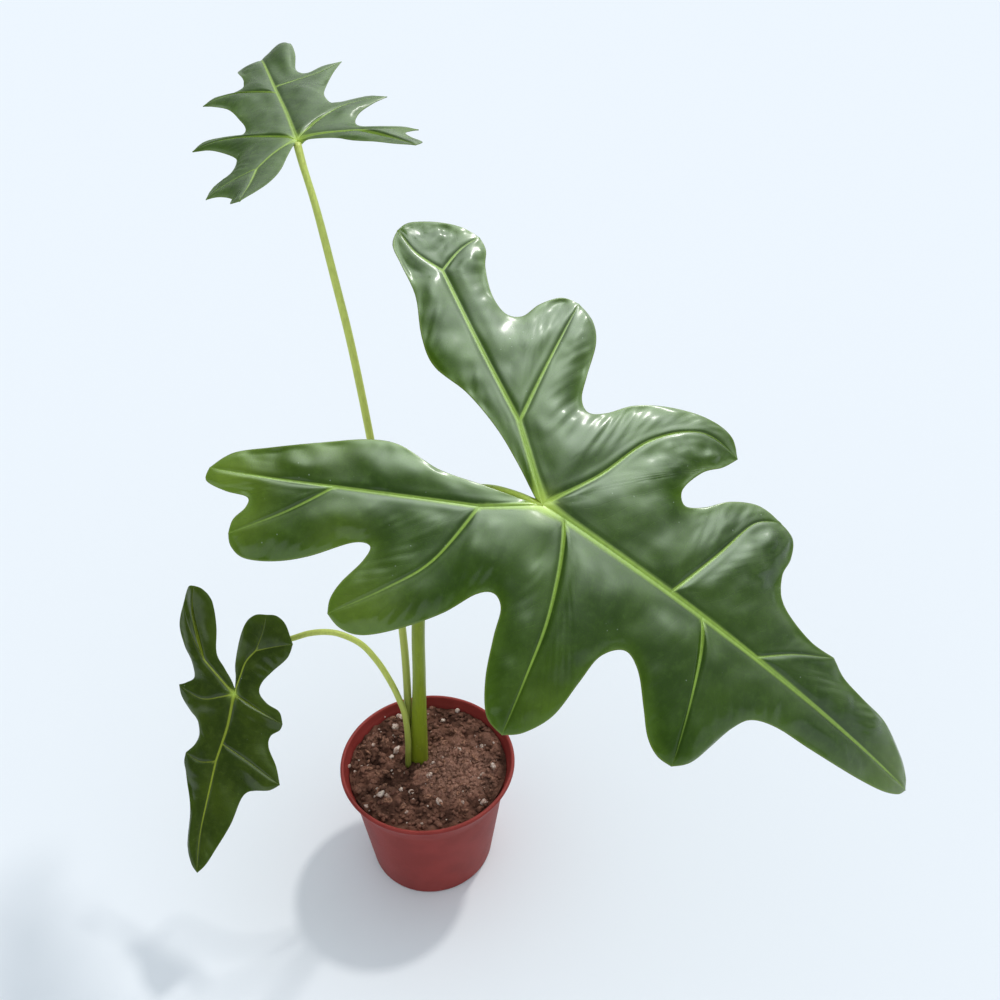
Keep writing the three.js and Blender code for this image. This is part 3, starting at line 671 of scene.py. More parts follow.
def stalk_skin(name, foot, middle, top):
    """Waxy green skin: its colour goes from the foot through the middle to the top, with fine streaks
    along it, tiny pale flecks, and painted shade, nearly black, in the groove down the sheath."""
    made = Finish(name)
    height = made.attribute("height")
    seam = made.attribute("seam")
    streak = made.node("ShaderNodeTexNoise", sockets={
        "Vector": made.node("ShaderNodeMapping", sockets={0: made.place(), 3: (1, 1, 0.06)}),
        "Scale": 900, "Detail": 3})
    cloud = made.noise(0.012, detail=3)
    colour = made.mix(height.between(0.0, 0.5), foot, middle)
    colour = made.mix(height.between(0.55, 1), colour, top)
    colour = made.mix(streak.between(0.4, 0.7) * 0.35 + cloud.between(0.4, 0.7) * 0.2, colour,
                      tuple(0.62 * c for c in middle))
    fleck = made.noise(0.0011, detail=1)
    colour = made.mix(fleck.between(0.68, 0.76) * 0.3, colour, STALK_FLECK)
    # Painted shade in the sheath's groove.
    colour = made.mix(seam * 0.7, colour, SHEATH_GROOVE_SHADE)
    relief = made.bump(streak, 0.00012)
    return made.done(Base_Color=colour, Roughness=0.34, Normal=relief, IOR=1.42, Specular_IOR_Level=0.25)


main_route = [
    (-5, 6, STALK_FOOT), (-5, 6, 70), (-3.5, 3, 110), (-1.5, -2, 150), (0, -6, 185), (2.5, -8.5, 215),
    (7, -12, 243), (14, -18, 266), (23, -27, 283), (32, -34, 293), (41, -41.5, 298), (51, -48, 299),
    (61.3, -53.6, 296.8),
]
tall_route = [
    (-12.2, 8.2, STALK_FOOT), (-12.2, 8.2, 70), (-11.2, 6, 100), (-9.6, 4, 135), (-9.6, 4, 174),
    (-12.5, 8.5, 225), (-20.2, 20, 289), (-27.2, 32, 332.5), (-33.8, 42, 362.5), (-41, 54, 391),
    (-47.2, 65, 408), (-50, 71.2, 416.3),
]
low_route = [
    (-12.2, 1.6, STALK_FOOT), (-12.2, 1.6, 72), (-11, 0.3, 95), (-11.6, 0, 116), (-14.7, 0, 131),
    (-18.6, 1, 142.5), (-24.5, 2, 156), (-33, 4, 167.5), (-44, 6, 173), (-53, 7.5, 173.5),
    (-63, 9.5, 170.5), (-73, 11, 165.5), (-83, 13, 161), (-91, 12.5, 156), (-97.5, 5.5, 150.2),
    (-101.5, -1, 144.4), (-104.1, -6.1, 138.7),
]
OLIVE_GREENS = [(0.19, 0.235, 0.012), (0.205, 0.27, 0.018), (0.30, 0.40, 0.04)]
PALE_GREENS = [(0.155, 0.185, 0.022), (0.54, 0.60, 0.13), (0.56, 0.64, 0.15)]
olive = stalk_skin("stalk_green", *OLIVE_GREENS)
pale = stalk_skin("stalk_pale", *PALE_GREENS)
main_radii = (4.6, 4.4, 4, 3.7, 3.6, 3.5, 3.4, 3.3, 3.2, 3, 2.6)
tall_radii = (2.3, 2.3, 2.2, 2.1, 2, 1.95, 1.9, 1.9, 1.8, 1.5)
low_radii = (1.9, 1.9, 1.8, 1.8, 1.7, 1.7, 1.6, 1.3)
stalk_main = stalk("stalk_of_big_leaf", main_route, main_radii, olive, sheath=0.8, opens=math.radians(170),
                   boss=0.5)
stalk_tall = stalk("stalk_of_tall_leaf", tall_route, tall_radii, pale, boss=0.4)
stalk_low = stalk("stalk_of_low_leaf", low_route, low_radii, pale, boss=0.3)
for piece, node, skin in (
    (stalk_main, "petiole_main", "stalk_green"),
    (stalk_tall, "petiole_tall", "stalk_pale"),
    (stalk_low, "petiole_low", "stalk_pale"),
):
    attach(piece, "root")
    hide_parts(node)


# Big leaf: a glossy dark green blade with deep lobes and pale yellow-green veins, grown as one thin
# sheet. Its veins lie in shallow grooves above and stand out as round ribs below.
FRESH_GREEN = (0.165, 0.255, 0.020)
# The next two colours are painted light: margins lighter green as if lit through the thin edge, and a paler
# line along the very edge.
MARGIN_GLOW_GREEN = (0.10, 0.19, 0.010)
MARGIN_GLOW_LINE = (0.19, 0.27, 0.035)
HUB_LIME = (0.45, 0.60, 0.085)
LEAF_DUST = (0.55, 0.62, 0.52)
LEVELS = (0, 0.008, 0.018, 0.03, 0.045, 0.065, 0.09, 0.12, 0.16, 0.2, 0.25, 0.3, 0.36, 0.42, 0.48, 0.54,
          0.6, 0.66, 0.72, 0.78, 0.83, 0.88, 0.92, 0.955, 0.982, 1)
WELDS_PER_MM = 1000
FAR_AWAY = 99.0
HUB_WIDENS = 0.55
GROOVE_DEPTH = 0.34
GROOVE_REACH = 2.3
CORD_HEIGHT = 0.26
RIB_HEIGHT = 0.85
RIB_REACH = 1.15
RIM_THICKNESS = 0.45
MARGIN_OUT = 0.2


def run_of(veins, path, fineness):
    """The veins that a path follows, each as evenly spaced points. A minus sign walks one backwards."""
    runs = []
    for name in path:
        points, steps = veins[name.lstrip("-")][:2]
        run = evenly(points, steps * fineness)
        runs.append(run[::-1] if name.startswith("-") else run)
    return runs


def sector_grid(veins, sector, fineness):
    """One sector of the flat blade, between two neighbouring lobe tips: straight rows go from the
    veins on its path to the margin, with a point at each of LEVELS. Gives a grid of x, y, share of
    the way out, row's length, distance walked along the veins, and how far the rows have spread
    since they left them, and then the margin."""
    runs = run_of(veins, sector["path"], fineness)
    margin = [runs[0][0]]
    for part in sector["edge"]:
        margin.extend(part)
    margin.append(runs[-1][-1])
    places = []
    start = 0
    for k, run in enumerate(runs):
        last = k == len(runs) - 1
        end = len(margin) - 1 if last else start + len(sector["edge"][k])
        places.append(np.linspace(start, end, len(run))[min(k, 1):])
        start = end
    inner = np.concatenate([run[min(k, 1):] for k, run in enumerate(runs)])
    outer = through(margin, np.concatenate(places))
    width = np.linalg.norm(outer - inner, axis=1)
    walked = np.concatenate([[0], np.cumsum(np.linalg.norm(np.diff(inner, axis=0), axis=1))])
    t = np.asarray(LEVELS, float)
    flat = inner[:, None] * (1 - t[:, None]) + outer[:, None] * t[:, None]
    stride = np.maximum(np.gradient(walked), 1e-6)
    spread = np.linalg.norm(np.gradient(flat, axis=0), axis=2) / stride[:, None]
    one = np.ones(spread.shape)
    values = (flat[..., 0], flat[..., 1], one * t, one * width[:, None], one * walked[:, None], spread)
    return np.stack(values, -1), outer


def flat_sheet(leaf, fineness):
    """The whole flat blade: every sector's grid, welded to its neighbours. Gives the grids' points
    before and after welding, the faces on each, and the sectors' margins."""
    points, corners, margins = [], [], []
    offset = 0
    for sector in leaf["sectors"]:
        grid, outer = sector_grid(leaf["veins"], sector, fineness)
        rows, levels, values = grid.shape
        index = offset + np.arange(rows * levels).reshape(rows, levels)
        a, b, c, d = index[:-1, :-1], index[1:, :-1], index[1:, 1:], index[:-1, 1:]
        halves = ((a, b, c), (a, c, d)) if sector["side"] == "left" else ((a, c, b), (a, d, c))
        corners.extend(np.stack(half, -1).reshape(-1, 3) for half in halves)
        points.append(grid.reshape(-1, values))
        margins.append(outer)
        offset += rows * levels
    points = np.concatenate(points)
    corners = np.concatenate(corners)
    key = np.round(points[:, :2] * WELDS_PER_MM).astype(np.int64)
    _, first, weld = np.unique(key[:, 0] * 10**7 + key[:, 1], return_index=True, return_inverse=True)
    faces = weld[corners]
    whole = (faces[:, 0] != faces[:, 1]) & (faces[:, 1] != faces[:, 2]) & (faces[:, 2] != faces[:, 0])
    return points, points[first], corners[whole], faces[whole], margins


def turned_round(length, height, curvature):
    """A flat length and a height above it, laid round an arc of the given curvature: the sine and the
    cosine of the turned angle, times the radius and the height."""
    curvature = np.where(np.abs(curvature) < 1e-7, 1e-7, curvature)
    radius = 1 / curvature
    turn = length * curvature
    return (radius + height) * np.sin(turn), (radius + height) * np.cos(turn) - radius


def bent(x, y, h, bend):
    """The blade's bend: across the midrib first, then along it, with a closer curve past the hinge."""
    across, rise = turned_round(y, h, np.where(y > 0, bend["left"], bend["right"]))
    along, up = turned_round(np.minimum(x, bend["hinge"]), rise, np.where(x > 0, bend["front"], bend["back"]))
    start, start_up = turned_round(bend["hinge"], 0, bend["front"])
    slope = bend["hinge"] * bend["front"]
    nod, nod_up = turned_round(x - bend["hinge"], rise, bend["tip"])
    past = x > bend["hinge"]
    along = np.where(past, start + nod * np.cos(slope) + nod_up * np.sin(slope), along)
    up = np.where(past, start_up - nod * np.sin(slope) + nod_up * np.cos(slope), up)
    return along, across, up


def distance_to(points, line):
    """Each point's distance to a line of straight pieces, and its nearest place there, 0 to 1."""
    step = np.diff(line, axis=0)
    offset = points[:, None] - line[:-1]
    place = np.clip((offset * step).sum(-1) / np.maximum((step**2).sum(-1), 1e-9), 0, 1)
    apart = np.linalg.norm(offset - place[..., None] * step, axis=-1)
    nearest = apart.argmin(1)
    pick = np.arange(len(points))
    return apart[pick, nearest], (nearest + place[pick, nearest]) / len(step)


def blurred(values, x, y, reach, cell):
    """Values smoothed over the flat blade: they are gathered in square cells, blurred there by a bell
    curve of the given reach, which is divided by the same blur of the filled cells, and read back
    between the cells' middles."""
    column = (x - x.min()) / cell + 1
    row = (y - y.min()) / cell + 1
    columns, rows = int(column.max()) + 3, int(row.max()) + 3
    place = np.rint(row).astype(int) * columns + np.rint(column).astype(int)
    times = np.bincount(place, minlength=rows * columns).reshape(rows, columns)
    mean = np.bincount(place, values, rows * columns).reshape(rows, columns) / np.maximum(times, 1)
    down, across = (np.exp(-(((np.arange(n)[:, None] - np.arange(n)) * cell / reach) ** 2))
                    for n in (rows, columns))
    smooth = (down @ mean @ across) / np.maximum(down @ (times > 0) @ across, 1e-9)
    left, low = column.astype(int), row.astype(int)
    part_x, part_y = column - left, row - low
    near_low = smooth[low, left] * (1 - part_x) + smooth[low, left + 1] * part_x
    near_high = smooth[low + 1, left] * (1 - part_x) + smooth[low + 1, left + 1] * part_x
    return near_low * (1 - part_y) + near_high * part_y


def patches(listed, x, y):
    """Soft round patches added up: each is a bell curve of its (x, y, reach, strength)."""
    return 0 * x + sum(much * np.exp(-((x - at_x) ** 2 + (y - at_y) ** 2) / reach**2)
                       for at_x, at_y, reach, much in listed)


def near_veins(leaf, flat, hub):
    """What the veins do to the flat points, with near for the distance to a vein in its own half
    widths: a bell-shaped groove with a flat cord in it, a bell-shaped rib below, the vein's colour,
    and a wide valley that fades with distance. Where veins meet, the deepest and the highest win, so
    no step is left. All widen at the hub. Gives them and the room left beside the nearest vein."""
    groove, cord, rib, colour, valley = np.zeros((5, len(flat)))
    open_at = np.full(len(flat), FAR_AWAY)
    for points, steps, foot, end in leaf["veins"].values():
        apart, place = distance_to(flat, evenly(points, steps * 3))
        own = (foot + (end - foot) * place) * (1 + HUB_WIDENS * hub)
        near = apart / own
        dip = -GROOVE_DEPTH * own * np.exp(-((near / GROOVE_REACH) ** 2)) * leaf["groove"]
        groove = np.minimum(groove, dip)
        cord = np.maximum(cord, CORD_HEIGHT * own * np.clip(1 - near**2, 0, 1))
        rib = np.maximum(rib, RIB_HEIGHT * own * np.exp(-((near / RIB_REACH) ** 2)))
        seen = (1 - np.clip((near - 0.55) / 0.55, 0, 1)) * np.clip((own / 0.5) ** 2, 0.15, 1)
        colour = np.maximum(colour, seen)
        sunk = -leaf["valley"] * np.clip(own, 0.4, 1.2) * np.exp(-apart / leaf["valley_reach"])
        valley = np.minimum(valley, sunk)
        open_at = np.minimum(open_at, apart - 1.5 * own)
    return groove, cord, rib, colour, valley, open_at


def blade_height(leaf, sheet, rim, groove, cord, valley, open_at):
    """The upper face's height: the solid's puff between the veins and its sway, the valleys along the
    veins, blurred away from them, grooves and cords, a margin that rolls down, and, on the open
    blade, broad and fine lumps, ripples across the lateral veins and puckers in patches."""
    x, y, out, width, walked, spread = sheet.T
    puff = width * (0.2 * out * (1 - out) - 0.05 * out**2)
    puff = puff + 0.02 * width * out**2 * np.sin(x / 8) * np.cos(y / 9)
    form = puff + valley
    form = form + np.clip(open_at / 3, 0, 1) * (blurred(form, x, y, leaf["blur"], 0.8) - form)
    lumpy = 0.9 * lumps(x, y, 15, 21) + 0.36 * lumps(x, y, 6.5, 22)
    lateral = np.cos(2 * np.pi * (walked + 2.2 * lumps(x, y, 11, 23)) / leaf["lateral"])
    outer_part = np.clip((out - 0.3) / 0.5, 0, 1) * np.clip(0.3 + 0.9 * lumps(x, y, 18, 24), 0, 1)
    ripple = lateral * (0.02 + 0.3 * outer_part) * np.clip((spread - 0.55) / 0.25, 0, 1)
    ripple = blurred(ripple, x, y, 0.7, 0.35)
    puckers = patches(leaf["puckers"], x, y) * (lumps(x, y, 4.5, 25) + 0.5 * lumps(x, y, 2.6, 26))
    roll = -leaf["roll"] * np.clip(1 - rim / leaf["roll_reach"], 0, 1) ** 2
    open_blade = np.clip(open_at / 6, 0, 1) * np.clip(rim / 2, 0, 1)
    fine = open_blade * (leaf["crinkle"] * (lumpy + ripple) + puckers)
    return form + patches(leaf["sway"], x, y) + groove + cord + roll + fine


def open_edges(faces, flat):
    """The edges that only one face has, the points on them, and the flat way out from each point."""
    directed = np.concatenate([faces[:, [0, 1]], faces[:, [1, 2]], faces[:, [2, 0]]])
    low, high = np.sort(directed, axis=1).T
    _, inverse, times = np.unique(low * len(flat) + high, return_inverse=True, return_counts=True)
    hem = directed[times[inverse] == 1]
    run = flat[hem[:, 1]] - flat[hem[:, 0]]
    normal = np.stack([run[:, 1], -run[:, 0]], 1)
    outward = np.zeros((len(flat), 2))
    np.add.at(outward, hem[:, 0], normal)
    np.add.at(outward, hem[:, 1], normal)
    length = np.linalg.norm(outward, axis=1)
    on_hem = np.flatnonzero(length > 0)
    return hem, on_hem, outward[on_hem] / length[on_hem, None]


def lobed_blade(name, leaf, material, fineness):
    """A leaf from its flat drawing: the sheet gets its heights and is bent into place. The underside
    lies a blade's thickness below, thinner towards the margin, with a rib under each vein and a boss
    on the stalk, and one row of points, a little further out, rounds the margin."""
    loose, sheet, corners, faces, margins = flat_sheet(leaf, fineness)
    flat = sheet[:, :2]
    x, y = flat.T
    hub = np.exp(-(x**2 + y**2) / leaf["hub"] ** 2)
    groove, cord, rib, vein, valley, open_at = near_veins(leaf, flat, hub)
    rim = np.full(len(x), FAR_AWAY)
    for outer in margins:
        rim = np.minimum(rim, distance_to(flat, outer[::3])[0])
    height = blade_height(leaf, sheet, rim, groove, cord, valley, open_at)
    thick = leaf["thickness"] * (RIM_THICKNESS + (1 - RIM_THICKNESS) * np.clip(rim / 3, 0, 1))
    boss = leaf["boss"] * np.exp(-(x**2 + y**2) / leaf["boss_width"] ** 2)
    below = height - thick - rib - boss
    hem, on_hem, way_out = open_edges(faces, flat)
    push = way_out * leaf["thickness"] * MARGIN_OUT

    all_x = np.concatenate([x, x, x[on_hem] + push[:, 0]])
    all_y = np.concatenate([y, y, y[on_hem] + push[:, 1]])
    all_h = np.concatenate([height, below, (height[on_hem] + below[on_hem]) / 2])
    along, across, up = bent(all_x, all_y, all_h, leaf["bend"])
    ex = np.asarray(leaf["along"], float)
    ex /= np.linalg.norm(ex)
    ez = np.cross(ex, leaf["across"])
    ez /= np.linalg.norm(ez)
    ey = np.cross(ez, ex)
    points = np.asarray(leaf["at"]) + along[:, None] * ex + across[:, None] * ey + up[:, None] * ez

    count = len(x)
    order = np.zeros(count, int)
    order[on_hem] = np.arange(len(on_hem))
    a, b = hem.T
    middle_a, middle_b = 2 * count + order[a], 2 * count + order[b]
    wall = np.concatenate([np.stack(part, -1) for part in (
        (b, a, middle_a), (b, middle_a, middle_b),
        (middle_b, middle_a, count + a), (middle_b, count + a, count + b))])
    piece = set_down(name, points * MM, [faces, faces[:, ::-1] + count, wall], material)

    fields = {"vein": vein, "hub": hub,
              "fresh": patches(leaf["fresh"], x, y), "dull": patches(leaf["dull"], x, y)}
    fields = {field: np.concatenate([values, values, values[on_hem]]) for field, values in fields.items()}
    fields["rim"] = np.concatenate([rim, rim, 0 * on_hem])
    fields["upper"] = np.repeat([1.0, 0.0, 0.5], [count, count, len(on_hem)])
    for field, values in fields.items():
        piece.data.attributes.new(field, "FLOAT", "POINT").data.foreach_set("value", values)
    lateral = leaf["lateral"]
    uv = np.stack([loose[:, 4] / lateral, loose[:, 2]], 1)
    wall_uv = np.stack([sheet[:, 4] / lateral, sheet[:, 2]], 1)
    source = np.concatenate([np.arange(count), np.arange(count), on_hem])
    loops = np.concatenate([uv[corners].reshape(-1, 2), uv[corners[:, ::-1]].reshape(-1, 2),
                            wall_uv[source[wall]].reshape(-1, 2)])
    piece.data.uv_layers.new(name="along_veins").data.foreach_set("uv", loops.ravel())
    return piece


def leaf_skin(name, dark, mid, light, vein_colour, under, roughness, wax, margin_glow):
    """A leaf's two faces. Above: dark glossy green, clouded, with lighter lines along the lateral
    veins, fresh yellow-green patches, margins painted lighter green for light shining through the thin
    edge, palest in a line along the very edge, pale veins, and fine cells in relief. Below: paler,
    greyer and duller green, with the same veins."""
    made = Finish(name)
    upper = made.attribute("upper")
    vein = made.attribute("vein")
    rim = made.attribute("rim")
    fresh = made.attribute("fresh")
    hub = made.attribute("hub")
    u, v, _ = made.parts(made.node("ShaderNodeTexCoord", output=2))
    cloud = made.noise(0.022, detail=4)
    mottle = made.noise(0.004, detail=4, roughness=0.6)
    cells = made.noise(0.0006, detail=2)
    wander = made.noise(0.012, detail=2)
    fork = u + wander * 0.9 + v * 0.25
    line = fork.math("COSINE", fork * (2 * math.pi)).between(0.94, 1.0)
    faint = fork.math("COSINE", fork * (6 * math.pi) + 1.3).between(0.95, 1.0)
    colour = made.mix(cloud.between(0.35, 0.68), dark, mid)
    colour = made.mix(mottle.between(0.45, 0.75) * 0.35, colour, light)
    colour = made.mix((line * 0.07 + faint * 0.02) * v.between(0.02, 0.25), colour, light)
    colour = made.mix(fresh * (0.55 + 0.45 * mottle), colour, FRESH_GREEN)
    # Painted light through the thin margin: lighter green near the edge, palest in a line along it.
    near_rim = 1 - rim.between(0.0, 7.0)
    colour = made.mix(near_rim * margin_glow, colour, MARGIN_GLOW_GREEN)
    colour = made.mix((1 - rim.between(0.25, 0.8)) * margin_glow, colour, MARGIN_GLOW_LINE)
    speck = made.node("ShaderNodeTexVoronoi", sockets={"Vector": made.place(), "Scale": 190})
    dust = (1 - speck.between(0.035, 0.075)) * made.noise(0.03, detail=1).between(0.5, 0.62)
    colour = made.mix(dust * 0.3, colour, LEAF_DUST)
    streak = made.noise(0.0022, detail=3)
    vein_shade = made.mix(streak.between(0.4, 0.7) * 0.35, vein_colour, tuple(0.62 * c for c in vein_colour))
    colour = made.mix(vein * 0.94, colour, vein_shade)
    colour = made.mix(hub * hub * (0.3 + 0.65 * vein), colour, HUB_LIME)
    beneath = made.mix(cloud.between(0.3, 0.7), under, tuple(0.78 * c for c in under))
    beneath = made.mix(line * 0.3 * v.between(0.02, 0.25), beneath, vein_colour)
    beneath = made.mix(vein * 0.8, beneath, tuple(0.9 * c for c in vein_colour))
    colour = made.mix(upper.between(0.2, 0.8), beneath, colour)
    relief = made.bump(cells * 0.5 + mottle * 0.5, 0.00022, strength=0.8)
    relief = made.bump((1 - line) * v.between(0.03, 0.3), 0.00012, strength=0.7, normal=relief)
    polish = roughness + 0.10 * (mottle - 0.5) + 0.28 * (1 - upper)
    return made.done(Base_Color=colour, Roughness=polish, Normal=relief, IOR=1.5, Specular_IOR_Level=0.02,
                     Coat_Weight=wax * upper * (1 - made.attribute("dull")), Coat_Roughness=0.22)


big_leaf = {
    "at": (61.4, -55.6, 301.7),
    "along": (0.83, -0.384, -0.405),
    "across": (0.553, 0.661, 0.506),
    "bend": {"left": 0.0015, "right": 0.0038, "back": -0.0003, "front": 0.0026, "tip": 0.0026, "hinge": 300},
    "sway": [(64, 76, 15, -6)],
    "thickness": 0.75,
    "groove": 1.0,
    "valley": 1.3,
    "valley_reach": 8,
    "puckers": [(45, 62, 26, 0.75), (90, 42, 22, 0.5), (-104, 80, 26, 0.55), (-40, 80, 20, 0.35)],
    "blur": 4,
    "crinkle": 1.35,
    "roll": 0.6,
    "roll_reach": 8,
    "lateral": 9.0,
    "boss": 3.0,
    "boss_width": 4.5,
    "hub": 9,
    "dull": [(45, 37, 9, 0.9), (64, 60, 8, 0.6), (-13, 55, 9, 0.7), (-74, 28, 13, 0.6), (-6, -50, 10, 0.5),
             (112, 34, 9, 0.3), (48, -72, 27, 0.5), (98, -50, 24, 0.5), (-102, 78, 30, 0.25)],
    "fresh": [(-120, -62, 20, 1.0), (-104, -80, 17, 0.7), (-92, -25, 15, 0.55), (-46, -86, 20, 0.6),
              (-60, -60, 13, 0.45), (216, 0, 24, 0.45), (50, -70, 18, 0.3), (-30, -75, 14, 0.3)],
    "veins": {
        "rib0": ([(0, 0), (11, 0)], 1, 2.4, 2.2),
        "rib1": ([(11, 0), (65, 0)], 5, 2.2, 1.8),
        "rib2": ([(65, 0), (82, 0)], 2, 1.8, 1.65),
        "rib3": ([(82, 0), (112, 0)], 3, 1.65, 1.4),
        "rib4": ([(112, 0), (222, 0)], 11, 1.4, 0.3),
        "far": ([(0, 0), (-13, 12), (-28, 25)], 4, 1.9, 1.5),
        "farMid": ([(-28, 25), (-62, 45), (-96, 66)], 7, 1.2, 0.8),
        "farTip": ([(-96, 66), (-111, 66), (-124, 71)], 4, 0.6, 0.3),
        "farSide": ([(-96, 66), (-96, 80), (-93, 92)], 4, 0.6, 0.3),
        "farInner": ([(-28, 25), (-33, 56), (-38, 91)], 7, 0.9, 0.25),
        "farFirst": ([(0, 0), (13, 24), (23, 51), (40, 69), (62, 73)], 10, 0.95, 0.25),
        "farSecond": ([(65, 0), (74, 26), (81, 48), (92, 57)], 6, 0.85, 0.25),
        "farThird": ([(112, 0), (127, 12), (146, 23)], 4, 0.5, 0.2),
        "near": ([(0, 0), (-10, -8), (-21, -16)], 3, 1.7, 1.3),
        "nearMid": ([(-21, -16), (-47, -29), (-75, -43)], 6, 1.1, 0.8),
        "nearTip": ([(-75, -43), (-97, -54), (-123, -66)], 6, 0.7, 0.35),
        "nearSide": ([(-75, -43), (-86, -63), (-101, -84)], 5, 0.6, 0.3),
        "nearInner": ([(-21, -16), (-24, -45), (-34, -66), (-48, -88)], 8, 0.8, 0.25),
        "nearFirst": ([(11, 0), (16, -9), (22, -22), (29, -41), (34, -62), (40, -88)], 9, 1.0, 0.25),
        "nearSecond": ([(82, 0), (89, -12), (96, -29), (107, -58)], 6, 0.75, 0.2),
    },
    "sectors": [
        {"side": "left", "path": ["far", "farMid", "farTip"],
         "edge": [[(-7, 3), (-16, 8)], [(-34, 17), (-53, 23), (-72, 25), (-85, 34)],
                   [(-98, 48), (-112, 57), (-121, 63)]]},
        {"side": "left", "path": ["-farTip", "farSide"], "edge": [[(-122, 78), (-113, 86)], [(-103, 91)]]},
        {"side": "left", "path": ["-farSide", "-farMid", "farInner"],
         "edge": [[(-87, 88), (-82, 80)], [(-72, 70), (-62, 66), (-55, 70)], [(-52, 80), (-46, 89)]]},
        {"side": "left", "path": ["-farInner", "-far", "farFirst"],
         "edge": [[(-28, 87), (-21, 78), (-16, 62)], [(-12, 51), (-6, 47), (1, 52)],
                  [(9, 62), (22, 71), (38, 77), (54, 79)]]},
        {"side": "left", "path": ["-farFirst", "rib0", "rib1", "farSecond"],
         "edge": [[(57, 63), (50, 54)], [(46.5, 42)], [(51, 36), (59, 41)], [(67, 50), (79, 57)]]},
        {"side": "left", "path": ["-farSecond", "rib2", "rib3", "farThird"],
         "edge": [[(101, 55), (105, 47)], [(105, 38)], [(110, 29), (120, 24)], [(133, 21.5)]]},
        {"side": "left", "path": ["-farThird", "rib4"],
         "edge": [[(157, 19.5)], [(172, 18), (190, 17), (207, 11), (217, 5)]]},
        {"side": "right", "path": ["near", "nearMid", "nearTip"],
         "edge": [[(-12, -4)], [(-25, -7.5), (-44, -12.5), (-63, -13), (-76, -19)],
                   [(-92, -32), (-106, -44), (-118, -55)]]},
        {"side": "right", "path": ["-nearTip", "nearSide"],
         "edge": [[(-121, -71), (-112, -70), (-103, -67)], [(-101, -71), (-102.5, -78)]]},
        {"side": "right", "path": ["-nearSide", "-nearMid", "nearInner"],
         "edge": [[(-97, -88), (-90, -89), (-79, -83)], [(-68, -73), (-56, -58), (-49, -55)],
                  [(-48, -62), (-50.5, -74), (-50.5, -82)]]},
        {"side": "right", "path": ["-nearInner", "-near", "rib0", "nearFirst"],
         "edge": [[(-40, -90), (-31, -87), (-20, -76), (-9, -61)], [(-2, -47)], [(4, -42.5)],
                  [(10, -46), (14, -57), (21, -73), (30, -85)]]},
        {"side": "right", "path": ["-nearFirst", "rib1", "rib2", "nearSecond"],
         "edge": [[(47, -82), (53, -70), (54, -53)], [(55, -39), (62, -31)], [(71, -34)],
                  [(82, -45), (91, -54), (99, -58)]]},
        {"side": "right", "path": ["-nearSecond", "rib3", "rib4"],
         "edge": [[(113, -52), (117, -42)], [(121, -29), (126, -22)],
                  [(138, -18), (158, -16), (185, -12.5), (206, -8.5), (218, -4)]]},
    ],
}

BIG_GREENS = [(0.022, 0.056, 0.001), (0.038, 0.084, 0.003), (0.062, 0.125, 0.014)]
BIG_VEIN = (0.28, 0.43, 0.056)
BIG_UNDER = (0.17, 0.235, 0.095)
big_skin = leaf_skin("leaf_green", *BIG_GREENS, BIG_VEIN, BIG_UNDER,
                     roughness=0.24, wax=0.9, margin_glow=0.34)
big_blade = lobed_blade("blade_of_big_leaf", big_leaf, big_skin, 5)
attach(big_blade, "root")
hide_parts("leaf_main")


